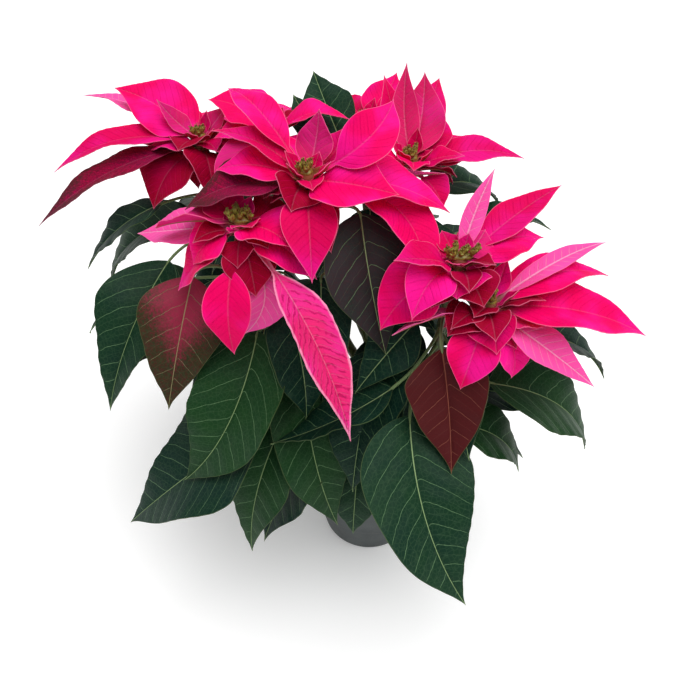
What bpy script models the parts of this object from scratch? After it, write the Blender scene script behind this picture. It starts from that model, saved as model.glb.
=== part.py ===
"""Poinsettia in a nursery pot.

The plant grows from one trunk that stands in a hole in the soil. Eight shoots leave the trunk, each one stem
with its stalked leaves, and each shoot carries one bloom: a whorl of coloured bracts on a short receptacle,
with a cluster of small buds in its centre. Blades are drawn with a fold along the midrib, a bow along their
length and a waved edge. A blade that would cross one on another piece is bent clear of it.

All sizes are in millimetres and become metres where a mesh is made. The origin is the centre of the pot's
underside, +Z is up, and the side that the plant shows best faces -Y.
"""
import itertools
import math
import random
from dataclasses import dataclass, replace

import bmesh
import bpy
from mathutils import Vector
from mathutils.bvhtree import BVHTree

MM = 0.001
GAP = 0.3
UP = Vector((0.0, 0.0, 1.0))

# Pot and soil, millimetres
POT_HEIGHT = 105.0
POT_RIM_RADIUS = 60.0
POT_BASE_RADIUS = 41.0
POT_HEEL = 2.0
POT_WALL = 1.8
RIM_HEIGHT = 15.0
RIM_STEP = 2.2
DRAIN_HOLES = 5
DRAIN_HOLE_RADIUS = 4.0
DRAIN_RING_RADIUS = 27.0
ROUND_SIDES = 24
SOIL_LEVEL = 92.0
SOIL_CROWN = 2.5
SOIL_CLEARANCE = 0.4
SOIL_UNEVEN = 1.2
ROOT_DEPTH = 40.0

# Trunk and stems, millimetres
TRUNK_TOP = 186.0
TRUNK_RADIUS = 6.0
TRUNK_TOP_RADIUS = 4.6
TRUNK_SIDES = 7
STUB_LENGTH = 17.0
STUB_RADIUS = 4.6
STUB_END_RADIUS = 3.9
STUB_SIDES = 5
FORK_SLOPE = 35.0
STEM_RADIUS = 3.6
STEM_TOP_RADIUS = 2.6
STEM_SIDES = 6
STEM_RINGS = 7
STEM_SQUARE_START = 5.0
STEM_SQUARE_END = 6.0
PETIOLE_RADIUS = 1.4
PETIOLE_SIDES = 3

# Blooms, millimetres
HUB_RADIUS = 4.4
HUB_HEIGHT = 13.0
HUB_SIDES = 6
BRACT_START_RADIUS = 3.4
BRACT_STALK = 2.0
BRACT_STALK_SPREAD = 5.5
LONG_STALK = 11.0
BUD_RADIUS = 1.9
BUD_LENGTH = 6.0
BUD_PLATE = 2.2
BUD_SIDES = 4
PLATE_SIDES = 6
GOLDEN_ANGLE = math.radians(137.5)

# Blades, millimetres
BLADE_THICKNESS = 0.8
GUARD_THICKNESS = 2.4
OWN_GUARD_THICKNESS = 1.5
STALK_HALF_WIDTH = 1.3
FLAT_ANGLE = math.radians(1.0)
MERGE_DISTANCE = 0.002 * MM


@dataclass(frozen=True)
class Form:
    """Outline and section shared by all blades of one kind."""

    neck: float
    point: float
    fold: float
    arch: float
    wave: float
    shoulder: float
    rows: tuple
    columns: tuple


HALVES = (-1.0, 0.0, 1.0)
BRACT = Form(0.95, 1.45, 18.0, 0.30, 0.10, 0.0, (0.0, 0.16, 0.44, 0.76), HALVES)
BROAD = Form(0.85, 1.38, 16.0, 0.30, 0.09, 0.0, (0.0, 0.12, 0.34, 0.60, 0.83), HALVES)
SMALL = Form(0.90, 1.40, 18.0, 0.30, 0.10, 0.0, (0.0, 0.24, 0.62), HALVES)
LEAF = Form(0.70, 1.45, 18.0, 0.30, 0.07, 0.07, (0.0, 0.10, 0.32, 0.58, 0.82), HALVES)
SLIM = Form(0.70, 1.45, 18.0, 0.30, 0.07, 0.07, (0.0, 0.14, 0.42, 0.74), HALVES)

BROAD_WIDTH = 42.0
SMALL_WIDTH = 31.0
SLIM_WIDTH = 58.0


@dataclass(frozen=True)
class Blade:
    """One bract or leaf: where its tip lies from its base, and how it is bent."""

    azimuth: float
    run: float
    rise: float
    width: float
    bow: float = 0.12
    roll: float = 0.0
    stalk: float = 0.0
    twist: float = 0.0
    lean: float = 0.0
    fold: float = 0.0
    phase: float = 0.0
    form: Form = BRACT
    start: tuple = (0.0, 0.0, 0.0)


@dataclass(frozen=True)
class Leaf:
    """A stalked leaf on a shoot: at is its place along the stem, and base is where its blade begins."""

    at: float
    base: tuple
    azimuth: float
    run: float
    rise: float
    width: float
    bow: float = 0.12
    roll: float = 0.0
    fold: float = 0.0
    lean: float = 0.0


@dataclass(frozen=True)
class Shoot:
    """A branch of the trunk, the bloom at its top, and its leaves."""

    number: int
    fork: float
    top: tuple
    cluster: tuple
    bracts: tuple
    leaves: tuple
    spare_bracts: int
    spare_leaves: int


# Each bract is azimuth in degrees, run, rise, width, bow, roll in degrees, then stalk and lean where it
# has them.
CENTRE_BRACTS = (
    (336, 62, 0, 50, 0.10, 14, 0, -0.10),
    (169, 60, -6, 36, 0.14, 0),
    (355, 92, -20, 48, 0.12, 0, 12),
    (274, 60, -40, 36, 0.20, 0),
    (34, 66, 25, 34, 0.04, 24, 14, -0.28),
    (68, 22, 32, 26, -0.10, 0),
    (44, 37, 24, 32, -0.06, 0),
    (153, 70, 6, 28, 0.10, 8),
    (125, 98, 16, 26, 0.08, 6, 16),
    (180, 80, -28, 50, 0.14, -8, 10),
    (281, 24, 2, 18, 0.10, 0),
    (256, 34, -12, 36, 0.16, 0),
    (290, 46, -30, 26, 0.20, 10),
    (320, 96, -48, 42, 0.22, 6, 20, 0.24),
    (22, 100, -24, 28, 0.06, -30, 14),
)
LEFT_BRACTS = (
    (308, 112, -110, 39, 0.16, -14, 30),
    (206, 34, -24, 40, 0.22, 0),
    (322, 42, -2, 46, 0.14, 0),
    (262, 46, -74, 32, 0.26, 0, 20),
    (162, 60, 0, 36, 0.10, 0),
    (168, 85, -26, 40, 0.08, 24, 10),
    (190, 46, -24, 42, 0.16, 0),
    (23, 38, 8, 38, 0.10, -20),
    (148, 43, 10, 30, 0.08, 0),
    (336, 52, -26, 38, 0.16, 0),
    (268, 30, -70, 32, 0.18, -10, 20, 0.24),
    (286, 36, -34, 36, 0.20, 0),
    (300, 24, 0, 20, 0.12, 0),
)
FAR_LEFT_BRACTS = (
    (156, 72, 24, 50, 0.06, -22),
    (151, 116, 10, 38, 0.06, 22, 10),
    (196, 40, 4, 50, 0.10, 0),
    (234, 56, -30, 56, 0.18, 0),
    (194, 110, -15, 32, 0.14, 0, 12),
    (207, 130, -40, 40, 0.12, 10, 16),
    (174, 74, -2, 28, 0.06, 0),
    (149, 30, 26, 18, 0.0, 0),
    (116, 44, 12, 24, 0.04, 0),
    (40, 28, 22, 22, 0.0, 0),
    (330, 40, -12, 24, 0.10, 0),
    (285, 54, -26, 46, 0.18, 0),
    (252, 34, -10, 34, 0.16, 0),
    (355, 36, -18, 28, 0.14, 0),
    (306, 26, 4, 22, 0.10, 0),
)
BACK_LEFT_BRACTS = (
    (160, 50, 4, 50, 0.10, 0),
    (205, 44, 2, 30, 0.10, 0),
)
BACK_BRACTS = (
    (262, 38, 8, 32, 0.06, 0),
    (10, 48, 14, 36, 0.06, 0),
    (60, 50, 20, 36, 0.04, 0),
)
BACK_RIGHT_BRACTS = (
    (78, 48, 40, 36, 0.0, 0),
    (108, 58, 34, 28, 0.0, 0),
    (94, 44, 32, 22, 0.0, 0),
    (64, 54, 18, 38, 0.06, 0),
    (72, 80, 22, 28, 0.06, 0),
    (39, 54, 8, 28, 0.08, 0),
    (11, 84, -15, 30, 0.10, 0),
    (24, 66, -6, 34, 0.10, 0),
    (348, 36, -10, 24, 0.12, 0),
    (200, 30, 6, 24, 0.10, 0),
    (268, 30, -8, 24, 0.10, 0),
    (310, 34, -14, 28, 0.14, 0),
)
RIGHT_BRACTS = (
    (206, 54, -36, 44, 0.20, 0),
    (22, 62, -3, 46, 0.10, 0),
    (262, 30, -14, 42, 0.16, 0),
    (48, 27, 30, 28, -0.06, 0),
    (188, 48, -10, 32, 0.14, 0),
    (62, 50, 36, 15, 0.0, 0),
    (38, 92, 10, 26, 0.04, 0, 12),
    (110, 26, 18, 20, 0.0, 0),
    (230, 48, -30, 34, 0.20, 0),
    (350, 20, 6, 16, 0.06, 0),
    (292, 34, -14, 34, 0.18, 0),
    (156, 30, 10, 24, 0.06, 0),
    (316, 26, -2, 22, 0.12, 0),
)
FAR_RIGHT_BRACTS = (
    (243, 38, -46, 34, 0.24, 0),
    (356, 103, -24, 50, 0.10, 0),
    (304, 30, -40, 34, 0.22, 0),
    (19, 88, -4, 34, 0.06, 0),
    (31, 98, 7, 16, 0.04, 0, 8),
    (340, 40, -8, 32, -0.10, 10),
    (330, 76, -44, 28, 0.06, 10),
    (190, 62, -20, 22, 0.10, 20, 14),
    (60, 22, 24, 16, 0.0, 0),
    (100, 34, 8, 22, 0.08, 0),
    (216, 34, -12, 30, 0.16, 0),
    (272, 34, -24, 32, 0.20, 0),
    (236, 24, 4, 20, 0.10, 0),
)

# Each leaf is its place along the stem, the start of its blade, azimuth, run, rise, width, bow, roll,
# then fold and lean where it has them.
SHOOTS = (
    Shoot(1, 186.0, (-48, 12, 370), (6.5, 6.5), CENTRE_BRACTS, (
        (0.90, (-14, 2, 346), 290, 52, -80, 62, 0.06, 6, 0, -0.06),
        (0.48, (2, -24, 250), 306, 66, -92, 66, 0.18, 0),
        (0.70, (10, 22, 312), 350, 60, -50, 50, 0.16, 0),
        (0.20, (-4, -36, 240), 274, 50, -90, 62, 0.16, 0),
        (0.36, (4, -30, 256), 246, 52, -70, 60, 0.14, 0),
        (0.56, (6, 30, 300), 328, 64, -70, 56, 0.14, 0),
        (0.62, (-40, -6, 300), 262, 44, -74, 52, 0.14, 0),
    ), 0, 0),
    Shoot(2, 134.0, (-89, -10, 350), (11.0, 6.5), LEFT_BRACTS, (
        (0.62, (-84, -24, 266), 225, 80, -96, 74, 0.08, -10, 0, 0.18),
        (0.84, (-126, -8, 302), 249, 56, -76, 60, 0.04, -20, 0, 0.0),
        (0.44, (-84, -58, 206), 192, 110, -94, 86, 0.06, -12, 0, 0.08),
        (0.50, (-54, -28, 228), 293, 65, -108, 62, 0.10, 0, 0, -0.10),
        (0.34, (-66, -44, 200), 240, 60, -106, 54, 0.12, 0),
        (0.24, (-36, -48, 176), 236, 64, -80, 58, 0.14, 0),
        (0.14, (-12, -50, 168), 262, 34, -68, 44, 0.12, 0),
        (0.30, (-58, -10, 202), 246, 50, -88, 58, 0.14, 0),
        (0.72, (-62, -22, 284), 285, 44, -80, 50, 0.16, 0),
        (0.56, (-80, -4, 258), 258, 46, -84, 54, 0.14, 0),
    ), 0, 0),
    Shoot(3, 144.0, (-133, 114, 338), (6.5, 6.5), FAR_LEFT_BRACTS, (
        (0.72, (-156, 46, 272), 238, 88, -86, 66, 0.14, 0, 12),
        (0.86, (-163, 80, 300), 195, 66, -50, 38, 0.10, 0),
        (0.60, (-142, 24, 244), 206, 74, -66, 58, 0.14, 0),
        (0.52, (-140, 50, 252), 190, 90, -44, 44, 0.14, 0),
    ), 2, 3),
    Shoot(4, 176.0, (-79, 113, 345), (6.5, 6.5), BACK_LEFT_BRACTS, (
        (0.88, (-88, 104, 310), 126, 74, 4, 42, 0.08, 0),
    ), 5, 3),
    Shoot(5, 152.0, (-6, 140, 336), (6.5, 6.5), BACK_BRACTS, (
        (0.90, (-27, 114, 335), 112, 56, 30, 42, 0.06, 0),
        (0.84, (-38, 112, 326), 118, 56, 22, 32, 0.06, 0),
    ), 5, 3),
    Shoot(6, 168.0, (22, 59, 352), (6.5, 6.5), BACK_RIGHT_BRACTS, (
        (0.86, (38, 74, 318), 22, 66, -32, 46, 0.16, 0),
        (0.74, (66, 52, 296), 16, 72, -14, 38, 0.14, 0),
    ), 1, 3),
    Shoot(7, 160.0, (47, -28, 335), (13.0, 6.0), RIGHT_BRACTS, (
        (0.62, (20, -72, 234), 293, 98, -92, 80, 0.08, 0, 0, -0.10),
        (0.80, (38, -58, 284), 279, 51, -66, 58, 0.04, 6, 0, 0.0),
        (0.72, (8, -60, 248), 190, 85, -42, 50, -0.04, 16, 0, 0.06),
        (0.40, (56, -56, 204), 355, 54, -52, 50, 0.16, 0),
        (0.30, (30, -54, 186), 286, 40, -84, 56, 0.14, 0),
    ), 0, 0),
    Shoot(8, 124.0, (67, -43, 312), (6.5, 6.5), FAR_RIGHT_BRACTS, (
        (0.66, (76, -50, 242), 0, 84, -76, 70, 0.16, 0),
        (0.86, (92, -34, 272), 2, 72, -46, 40, 0.16, 0),
        (0.50, (84, -18, 226), 38, 80, -68, 58, 0.16, 0),
        (0.36, (66, -8, 186), 18, 82, -58, 56, 0.14, 0),
    ), 0, 0),
)

# Order in which blooms and leafy stems claim their room: what shows best comes first and is bent least.
CLAIM_ORDER = (
    ("bloom", 1), ("bloom", 2), ("bloom", 7), ("bloom", 8), ("shoot", 7), ("shoot", 2), ("bloom", 3),
    ("bloom", 6), ("shoot", 8), ("shoot", 1), ("shoot", 5), ("bloom", 5), ("shoot", 4), ("bloom", 4),
    ("shoot", 3), ("shoot", 6),
)


def heading(azimuth):
    """Horizontal unit vector at an azimuth in degrees."""
    angle = math.radians(azimuth)
    return Vector((math.cos(angle), math.sin(angle), 0.0))


def half_width(blade, along):
    """Half width of a blade at a share of the length of its flat part."""
    form = blade.form
    widest = form.neck / (form.neck + form.point)
    rise = (along / widest) ** form.neck
    fall = ((1.0 - along) / (1.0 - widest)) ** form.point
    lobes = 1.0 + form.shoulder * math.sin(3.0 * math.pi * along + blade.phase) * math.sin(math.pi * along)
    return max(0.5 * blade.width * rise * fall * lobes, STALK_HALF_WIDTH * (1.0 - along))


def midrib(blade, share):
    """Place and direction on the midrib at a share of the whole length, from a bent chord."""
    out = heading(blade.azimuth)
    left = UP.cross(out)
    chord = out * blade.run + UP * blade.rise
    length = chord.length
    crown = (UP * blade.run - out * blade.rise) / length
    bend = chord * 0.5 + crown * (2.0 * blade.bow * length) + left * (2.0 * blade.lean * length)
    place = bend * (2.0 * share * (1.0 - share)) + chord * share * share
    direction = bend * (2.0 - 4.0 * share) + chord * (2.0 * share)
    return Vector(blade.start) + place, direction.normalized(), left


def blade_grid(blade, rows, columns):
    """Points of a blade's middle surface, row by row from the base, and its tip."""
    chord = math.hypot(blade.run, blade.rise)
    stalk = blade.stalk / chord
    steps = [(stalk + (1.0 - stalk) * row, row) for row in rows]
    if stalk and rows[0] == 0.0:
        steps = [(0.0, None)] + (steps if blade.stalk > LONG_STALK else steps[1:])
    grid = []
    for share, row in steps:
        place, along, left = midrib(blade, share)
        turn = math.radians(blade.roll + blade.twist * share) * min(1.0, share * 4.0)
        side = (left - along * left.dot(along)).normalized()
        face = along.cross(side)
        across = side * math.cos(turn) + face * math.sin(turn)
        normal = face * math.cos(turn) - side * math.sin(turn)
        wide = STALK_HALF_WIDTH if row is None else half_width(blade, row)
        swell = 0.0 if row is None else math.sin(math.pi * row) ** 0.5
        line = []
        for column in columns:
            reach = abs(column)
            slope = math.radians(blade.form.fold + blade.fold) * (0.4 + 0.6 * swell)
            lift = reach * wide * math.sin(slope) * (1.0 - blade.form.arch * reach)
            ripple = math.sin(2.6 * math.pi * (row or 0.0) * 1.5 + blade.phase + 1.7 * (column > 0))
            lift += blade.form.wave * wide * swell * reach * reach * ripple
            line.append(place + across * (column * wide * math.cos(slope)) + normal * lift)
        grid.append(line)
    return grid, midrib(blade, 1.0)[0]


def grid_normals(grid, tip):
    """A normal for each point of a blade's grid, from its neighbours."""
    normals = []
    last = len(grid) - 1
    for i, line in enumerate(grid):
        ahead = grid[i + 1] if i < last else [tip] * len(line)
        behind = grid[i - 1] if i > 0 else line
        row = []
        for j in range(len(line)):
            along = ahead[j] - behind[j]
            across = line[min(j + 1, len(line) - 1)] - line[max(j - 1, 0)]
            row.append(along.cross(across).normalized() * -1.0)
        normals.append(row)
    return normals


def blade_solid(blade, rows, columns, thickness):
    """Corners and triangles of a closed blade, split alike on both faces."""
    grid, tip = blade_grid(blade, rows, columns)
    normals = grid_normals(grid, tip)
    wide = len(columns)
    half = 0.5 * thickness
    tip_normal = normals[-1][wide // 2]
    corners = []
    for sign in (1.0, -1.0):
        for line, row in zip(grid, normals):
            corners += [point + normal * (sign * half) for point, normal in zip(line, row)]
        corners.append(tip + tip_normal * (sign * half))
    under = len(corners) // 2
    count = len(grid)
    peak = count * wide
    faces = []
    for i in range(count - 1):
        for j in range(wide - 1):
            a = i * wide + j
            b, c, d = a + 1, a + wide + 1, a + wide
            pair = ((a, b, c), (a, c, d)) if j < wide // 2 else ((a, b, d), (b, c, d))
            for one, two, three in pair:
                faces.append((one, three, two))
                faces.append((one + under, two + under, three + under))
    end = (count - 1) * wide
    for j in range(wide - 1):
        faces.append((end + j, peak, end + j + 1))
        faces.append((end + j + under, end + j + 1 + under, peak + under))
    rim = [i * wide for i in range(count)] + [peak]
    rim += [i * wide + wide - 1 for i in reversed(range(count))]
    rim += list(range(wide - 2, 0, -1))
    for one, two in zip(rim, rim[1:] + rim[:1]):
        faces.append((one, one + under, two + under))
        faces.append((one, two + under, two))
    return corners, faces


def tube_solid(points, radii, sides):
    """Corners and triangles of a closed round tube through points."""
    corners, faces = [], []
    side = None
    for i, (point, radius) in enumerate(zip(points, radii)):
        ahead = points[min(i + 1, len(points) - 1)]
        behind = points[max(i - 1, 0)]
        along = (ahead - behind).normalized()
        if side is None:
            side = along.orthogonal()
        side = (side - along * side.dot(along)).normalized()
        other = along.cross(side)
        for k in range(sides):
            angle = 2.0 * math.pi * k / sides
            corners.append(point + (side * math.cos(angle) + other * math.sin(angle)) * radius)
    for i in range(len(points) - 1):
        for k in range(sides):
            a = i * sides + k
            b = i * sides + (k + 1) % sides
            faces += [(a, b, b + sides), (a, b + sides, a + sides)]
    last = (len(points) - 1) * sides
    for k in range(1, sides - 1):
        faces += [(0, k + 1, k), (last, last + k, last + k + 1)]
    return corners, faces


def bezier(points, share):
    """Point on a Bezier curve through its control points."""
    points = list(points)
    while len(points) > 1:
        points = [a.lerp(b, share) for a, b in zip(points, points[1:])]
    return points[0]


def fork_direction(shoot):
    """Direction in which a shoot leaves the trunk."""
    if shoot.number == 1:
        return UP.copy()
    out = Vector((shoot.top[0], shoot.top[1], 0.0)).normalized()
    return out * math.cos(math.radians(FORK_SLOPE)) + UP * math.sin(math.radians(FORK_SLOPE))


def stem_start(shoot):
    """Centre of the end of the trunk's stub, where the shoot's stem begins."""
    length = 0.0 if shoot.number == 1 else STUB_LENGTH
    return UP * shoot.fork + fork_direction(shoot) * length


def stem_controls(shoot):
    """Control points of a shoot's stem, from the trunk's stub to the underside of its bloom."""
    begin = stem_start(shoot) + fork_direction(shoot) * GAP
    finish = Vector(shoot.top) - UP * (HUB_HEIGHT + GAP)
    reach = (finish - begin).length
    out = Vector((finish.x, finish.y, 0.0)).normalized()
    last = finish - (UP * 0.97 + out * 0.2).normalized() * (0.36 * reach)
    return begin, begin + fork_direction(shoot) * (0.34 * reach), last, finish


def stem_solid(shoot):
    """The stem of a shoot."""
    controls = stem_controls(shoot)
    points = [bezier(controls, i / (STEM_RINGS - 1)) for i in range(STEM_RINGS)]
    points.insert(1, points[0] + fork_direction(shoot) * STEM_SQUARE_START)
    points[-2] = points[-1] - UP * STEM_SQUARE_END
    taper = (STEM_TOP_RADIUS - STEM_RADIUS) / STEM_RINGS
    radii = [STEM_RADIUS + taper * i for i in range(len(points))]
    return tube_solid(points, radii, STEM_SIDES)


def petiole_solid(shoot, leaf, blade):
    """The stalk that joins a leaf's blade to the stem."""
    begin = bezier(stem_controls(shoot), leaf.at)
    finish, along, _ = midrib(blade, 0.03)
    reach = (finish - begin).length
    points = [bezier((begin, finish - along * 0.45 * reach, finish), share) for share in (0.0, 0.5, 1.0)]
    return tube_solid(points, [PETIOLE_RADIUS] * len(points), PETIOLE_SIDES)


def cluster_solids(shoot):
    """The plate and buds at the centre of a bloom, as closed pieces."""
    wide, deep = shoot.cluster
    count = round(5 + 0.6 * (wide - 6.0))
    draw = random.Random(f"buds {shoot.number}")
    centre = Vector(shoot.top) + UP * GAP
    ring = PLATE_SIDES
    corners = []
    for height, share in ((0.0, 0.6), (BUD_PLATE, 1.05)):
        for k in range(ring):
            angle = 2.0 * math.pi * (k + 0.5) / ring
            corners.append(centre + Vector((
                wide * share * math.cos(angle), deep * share * math.sin(angle), height)))
    faces = []
    for k in range(ring):
        n = (k + 1) % ring
        faces += [(k, n, n + ring), (k, n + ring, k + ring)]
    for k in range(1, ring - 1):
        faces += [(0, k + 1, k), (ring, ring + k, ring + k + 1)]
    pieces = [(corners, faces)]
    for k in range(count):
        angle = GOLDEN_ANGLE * k
        spread = math.sqrt((k + 0.3) / count)
        outward = Vector((math.cos(angle), math.sin(angle), 0.0))
        across = (wide - 1.4 * BUD_RADIUS) * spread * outward.x
        back = (deep - 1.4 * BUD_RADIUS) * spread * outward.y
        foot = centre + UP * 1.2 + Vector((across, back, 0.0))
        along = (UP + outward * (0.3 * spread)).normalized()
        height = BUD_LENGTH * draw.uniform(0.85, 1.15)
        stations = ((0.0, 0.55), (0.55, 1.0), (1.0, 0.5))
        points = [foot + along * (height * share) for share, _ in stations]
        pieces.append(tube_solid(points, [BUD_RADIUS * size for _, size in stations], BUD_SIDES))
    return pieces


def hub_solid(shoot):
    """The receptacle that a bloom's bracts grow from."""
    top = Vector(shoot.top)
    points = [top - UP * HUB_HEIGHT, top - UP * (0.7 * HUB_HEIGHT), top]
    return tube_solid(points, [STEM_TOP_RADIUS, HUB_RADIUS, HUB_RADIUS], HUB_SIDES)


def shaped_bract(shoot, index, values, rank):
    """A bract of a bloom from its row of values, with small seeded draws for what the row leaves out.

    rank runs from 0 for the steepest bract, at the top of the receptacle, to 1 for the lowest.
    """
    draw = random.Random(f"bract {shoot.number} {index}")
    azimuth, run, rise, width, bow, roll = values[:6]
    stalk = max(values[6] if len(values) > 6 else 0, BRACT_STALK + BRACT_STALK_SPREAD * rank)
    lean = values[7] if len(values) > 7 else draw.uniform(-0.05, 0.05)
    depth = 1.6 + (HUB_HEIGHT - 4.6) * rank
    start = Vector(shoot.top) + heading(azimuth) * BRACT_START_RADIUS - UP * depth
    form = BROAD if width >= BROAD_WIDTH else SMALL if width < SMALL_WIDTH else BRACT
    return Blade(
        azimuth, run - BRACT_START_RADIUS, rise + depth, width, bow, roll + draw.uniform(-5, 5), stalk,
        draw.uniform(-14, 14), lean, draw.uniform(-4, 6), draw.uniform(0, 6.28), form, tuple(start))


def bloom_blades(shoot):
    """Bracts of a bloom, the steeper ones higher on the receptacle."""
    rows = shoot.bracts + spare_bracts(shoot)
    slopes = sorted(range(len(rows)), key=lambda index: -rows[index][2] / rows[index][1])
    return [
        shaped_bract(shoot, index, row, slopes.index(index) / (len(rows) - 1))
        for index, row in enumerate(rows)]


def spare_bracts(shoot):
    """Bracts on the sides that no row describes, each in the middle of the widest gap."""
    draw = random.Random(f"spare bracts {shoot.number}")
    taken = [values[0] % 360.0 for values in shoot.bracts]
    rows = []
    for _ in range(shoot.spare_bracts):
        ring = sorted(taken)
        gaps = [((b - a) % 360.0 or 360.0, a) for a, b in zip(ring, ring[1:] + ring[:1])]
        size, begin = max(gaps)
        azimuth = (begin + 0.5 * size) % 360.0
        taken.append(azimuth)
        rows.append((azimuth, draw.uniform(52, 82), draw.uniform(-28, 2), draw.uniform(28, 42), 0.12, 0))
    return tuple(rows)


def spare_leaves(shoot):
    """Leaves on the side away from the plant's axis that no row describes, in a spiral down the stem."""
    draw = random.Random(f"spare leaves {shoot.number}")
    outward = math.degrees(math.atan2(shoot.top[1], shoot.top[0]))
    rows = []
    for k in range(shoot.spare_leaves):
        at = 0.74 - 0.17 * k
        azimuth = outward + (34.0, -30.0, 4.0, 60.0)[k] + draw.uniform(-8, 8)
        node = bezier(stem_controls(shoot), at)
        base = node + heading(azimuth) * draw.uniform(26, 34) + UP * draw.uniform(-4, 6)
        run, rise = draw.uniform(74, 92), draw.uniform(-84, -58)
        rows.append((at, tuple(base), azimuth, run, rise, draw.uniform(52, 66), 0.16, 0))
    return tuple(rows)


def shaped_leaf(shoot, index, values):
    """A leaf of a shoot, as the pair of its row and its blade."""
    draw = random.Random(f"leaf {shoot.number} {index}")
    leaf = Leaf(*values)
    form = LEAF if leaf.width >= SLIM_WIDTH else SLIM
    blade = Blade(
        leaf.azimuth, leaf.run, leaf.rise, leaf.width, leaf.bow, leaf.roll + draw.uniform(-6, 6), 0.0,
        draw.uniform(-12, 12), leaf.lean + draw.uniform(-0.05, 0.05), leaf.fold + draw.uniform(-4, 4),
        draw.uniform(0, 6.28), form, leaf.base)
    return leaf, blade


def bent_choices():
    """Small changes of a blade's rise, azimuth, roll and bow, the mildest first."""
    rises = (0, 5, -5, 10, -10, 16, -16, 24, -24, 34, -34)
    azimuths = (0, 6, -6, 12, -12, 20, -20)
    rolls = (0, 12, -12, 25, -25)
    bows = (0.0, 0.08, -0.08)
    choices = list(itertools.product(rises, azimuths, rolls, bows))
    choices.sort(key=lambda c: abs(c[0]) / 6.0 + abs(c[1]) / 6.0 + abs(c[2]) / 14.0 + abs(c[3]) / 0.06)
    return choices


BENT_CHOICES = bent_choices()


class Room:
    """What is already placed, so that the next blade can be bent clear of it."""

    def __init__(self):
        self.taken = []

    @staticmethod
    def box(corners):
        """Lowest and highest corner of a set of points."""
        low = [min(point[axis] for point in corners) for axis in range(3)]
        high = [max(point[axis] for point in corners) for axis in range(3)]
        return low, high

    def add(self, node, solid, within=False):
        """Claim the room of a solid, against other nodes or, with within, against its own node."""
        self.taken.append((node, within, self.box(solid[0]), BVHTree.FromPolygons(*solid)))

    def is_clear(self, node, solids, within=False):
        """Whether solids cross nothing of other nodes or, with within, nothing of their own node."""
        for corners, faces in solids:
            low, high = self.box(corners)
            tree = None
            for other, inner, (other_low, other_high), other_tree in self.taken:
                if inner != within or (other == node) != within:
                    continue
                if any(low[k] > other_high[k] or high[k] < other_low[k] for k in range(3)):
                    continue
                tree = tree or BVHTree.FromPolygons(corners, faces)
                if tree.overlap(other_tree):
                    return False
        return True

    def settle(self, node, blade, skip, extra=None):
        """Bend a blade as little as it takes to be clear, claim its room and return it, or None.

        skip is how many rows from the base may cross the blade's own node. If no bend clears its own node,
        one that clears the other nodes is enough.
        """
        for size, heed_own in ((1.0, True), (1.0, False), (0.84, False), (0.68, False)):
            for rise, azimuth, roll, bow in BENT_CHOICES:
                if heed_own and abs(rise) > 24:
                    continue
                bent = replace(
                    blade, rise=blade.rise + rise, azimuth=blade.azimuth + azimuth, roll=blade.roll + roll,
                    bow=blade.bow + bow, width=blade.width * size)
                own = blade_solid(bent, bent.form.rows[skip:], bent.form.columns, OWN_GUARD_THICKNESS)
                if heed_own and not self.is_clear(node, [own], within=True):
                    continue
                guards = [blade_solid(bent, bent.form.rows, bent.form.columns, GUARD_THICKNESS)]
                if extra:
                    guards.append(extra(bent))
                if self.is_clear(node, guards):
                    for guard in guards:
                        self.add(node, guard)
                    self.add(node, own, within=True)
                    return bent
        return None


def grown_plant():
    """All blades, bent clear of each other: bracts by shoot, and pairs of leaf and blade by shoot."""
    room = Room()
    bracts, leaves = {}, {}
    by_number = {shoot.number: shoot for shoot in SHOOTS}
    for shoot in SHOOTS:
        stem = stem_solid(shoot)
        room.add(f"shoot_{shoot.number}", stem)
        room.add(f"shoot_{shoot.number}", stem, within=True)
        for piece in cluster_solids(shoot):
            room.add(f"buds_{shoot.number}", piece)
    for kind, number in CLAIM_ORDER:
        shoot = by_number[number]
        node = f"{kind}_{number}"
        if kind == "bloom":
            settled = [room.settle(node, blade, 1) for blade in bloom_blades(shoot)]
            bracts[number] = [blade for blade in settled if blade]
            continue
        leaves[number] = []
        for index, row in enumerate(shoot.leaves + spare_leaves(shoot)):
            leaf, blade = shaped_leaf(shoot, index, row)
            bent = room.settle(node, blade, 0, lambda b, s=shoot, v=leaf: petiole_solid(s, v, b))
            if bent:
                leaves[number].append((leaf, bent))
    return bracts, leaves


def material(name, colour, roughness):
    """A plain Principled material."""
    made = bpy.data.materials.new(name)
    made.use_nodes = True
    shader = made.node_tree.nodes["Principled BSDF"]
    shader.inputs["Base Color"].default_value = (*colour, 1.0)
    shader.inputs["Roughness"].default_value = roughness
    return made


def mesh_object(name, corners, faces):
    """An object from corners in millimetres."""
    mesh = bpy.data.meshes.new(name)
    mesh.from_pydata([tuple(point * MM) for point in corners], [], faces)
    mesh.update()
    made = bpy.data.objects.new(name, mesh)
    bpy.context.scene.collection.objects.link(made)
    return made


def shells(work):
    """Connected groups of faces of a bmesh."""
    left = set(work.faces)
    groups = []
    while left:
        group = {left.pop()}
        front = list(group)
        while front:
            face = front.pop()
            for edge in face.edges:
                for other in edge.link_faces:
                    if other in left:
                        left.remove(other)
                        group.add(other)
                        front.append(other)
        groups.append(group)
    return groups


def shell_volume(group):
    """Signed volume of a closed group of triangles."""
    total = 0.0
    for face in group:
        a, b, c = (corner.vert.co for corner in face.loops)
        total += a.dot(b.cross(c)) / 6.0
    return total


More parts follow.
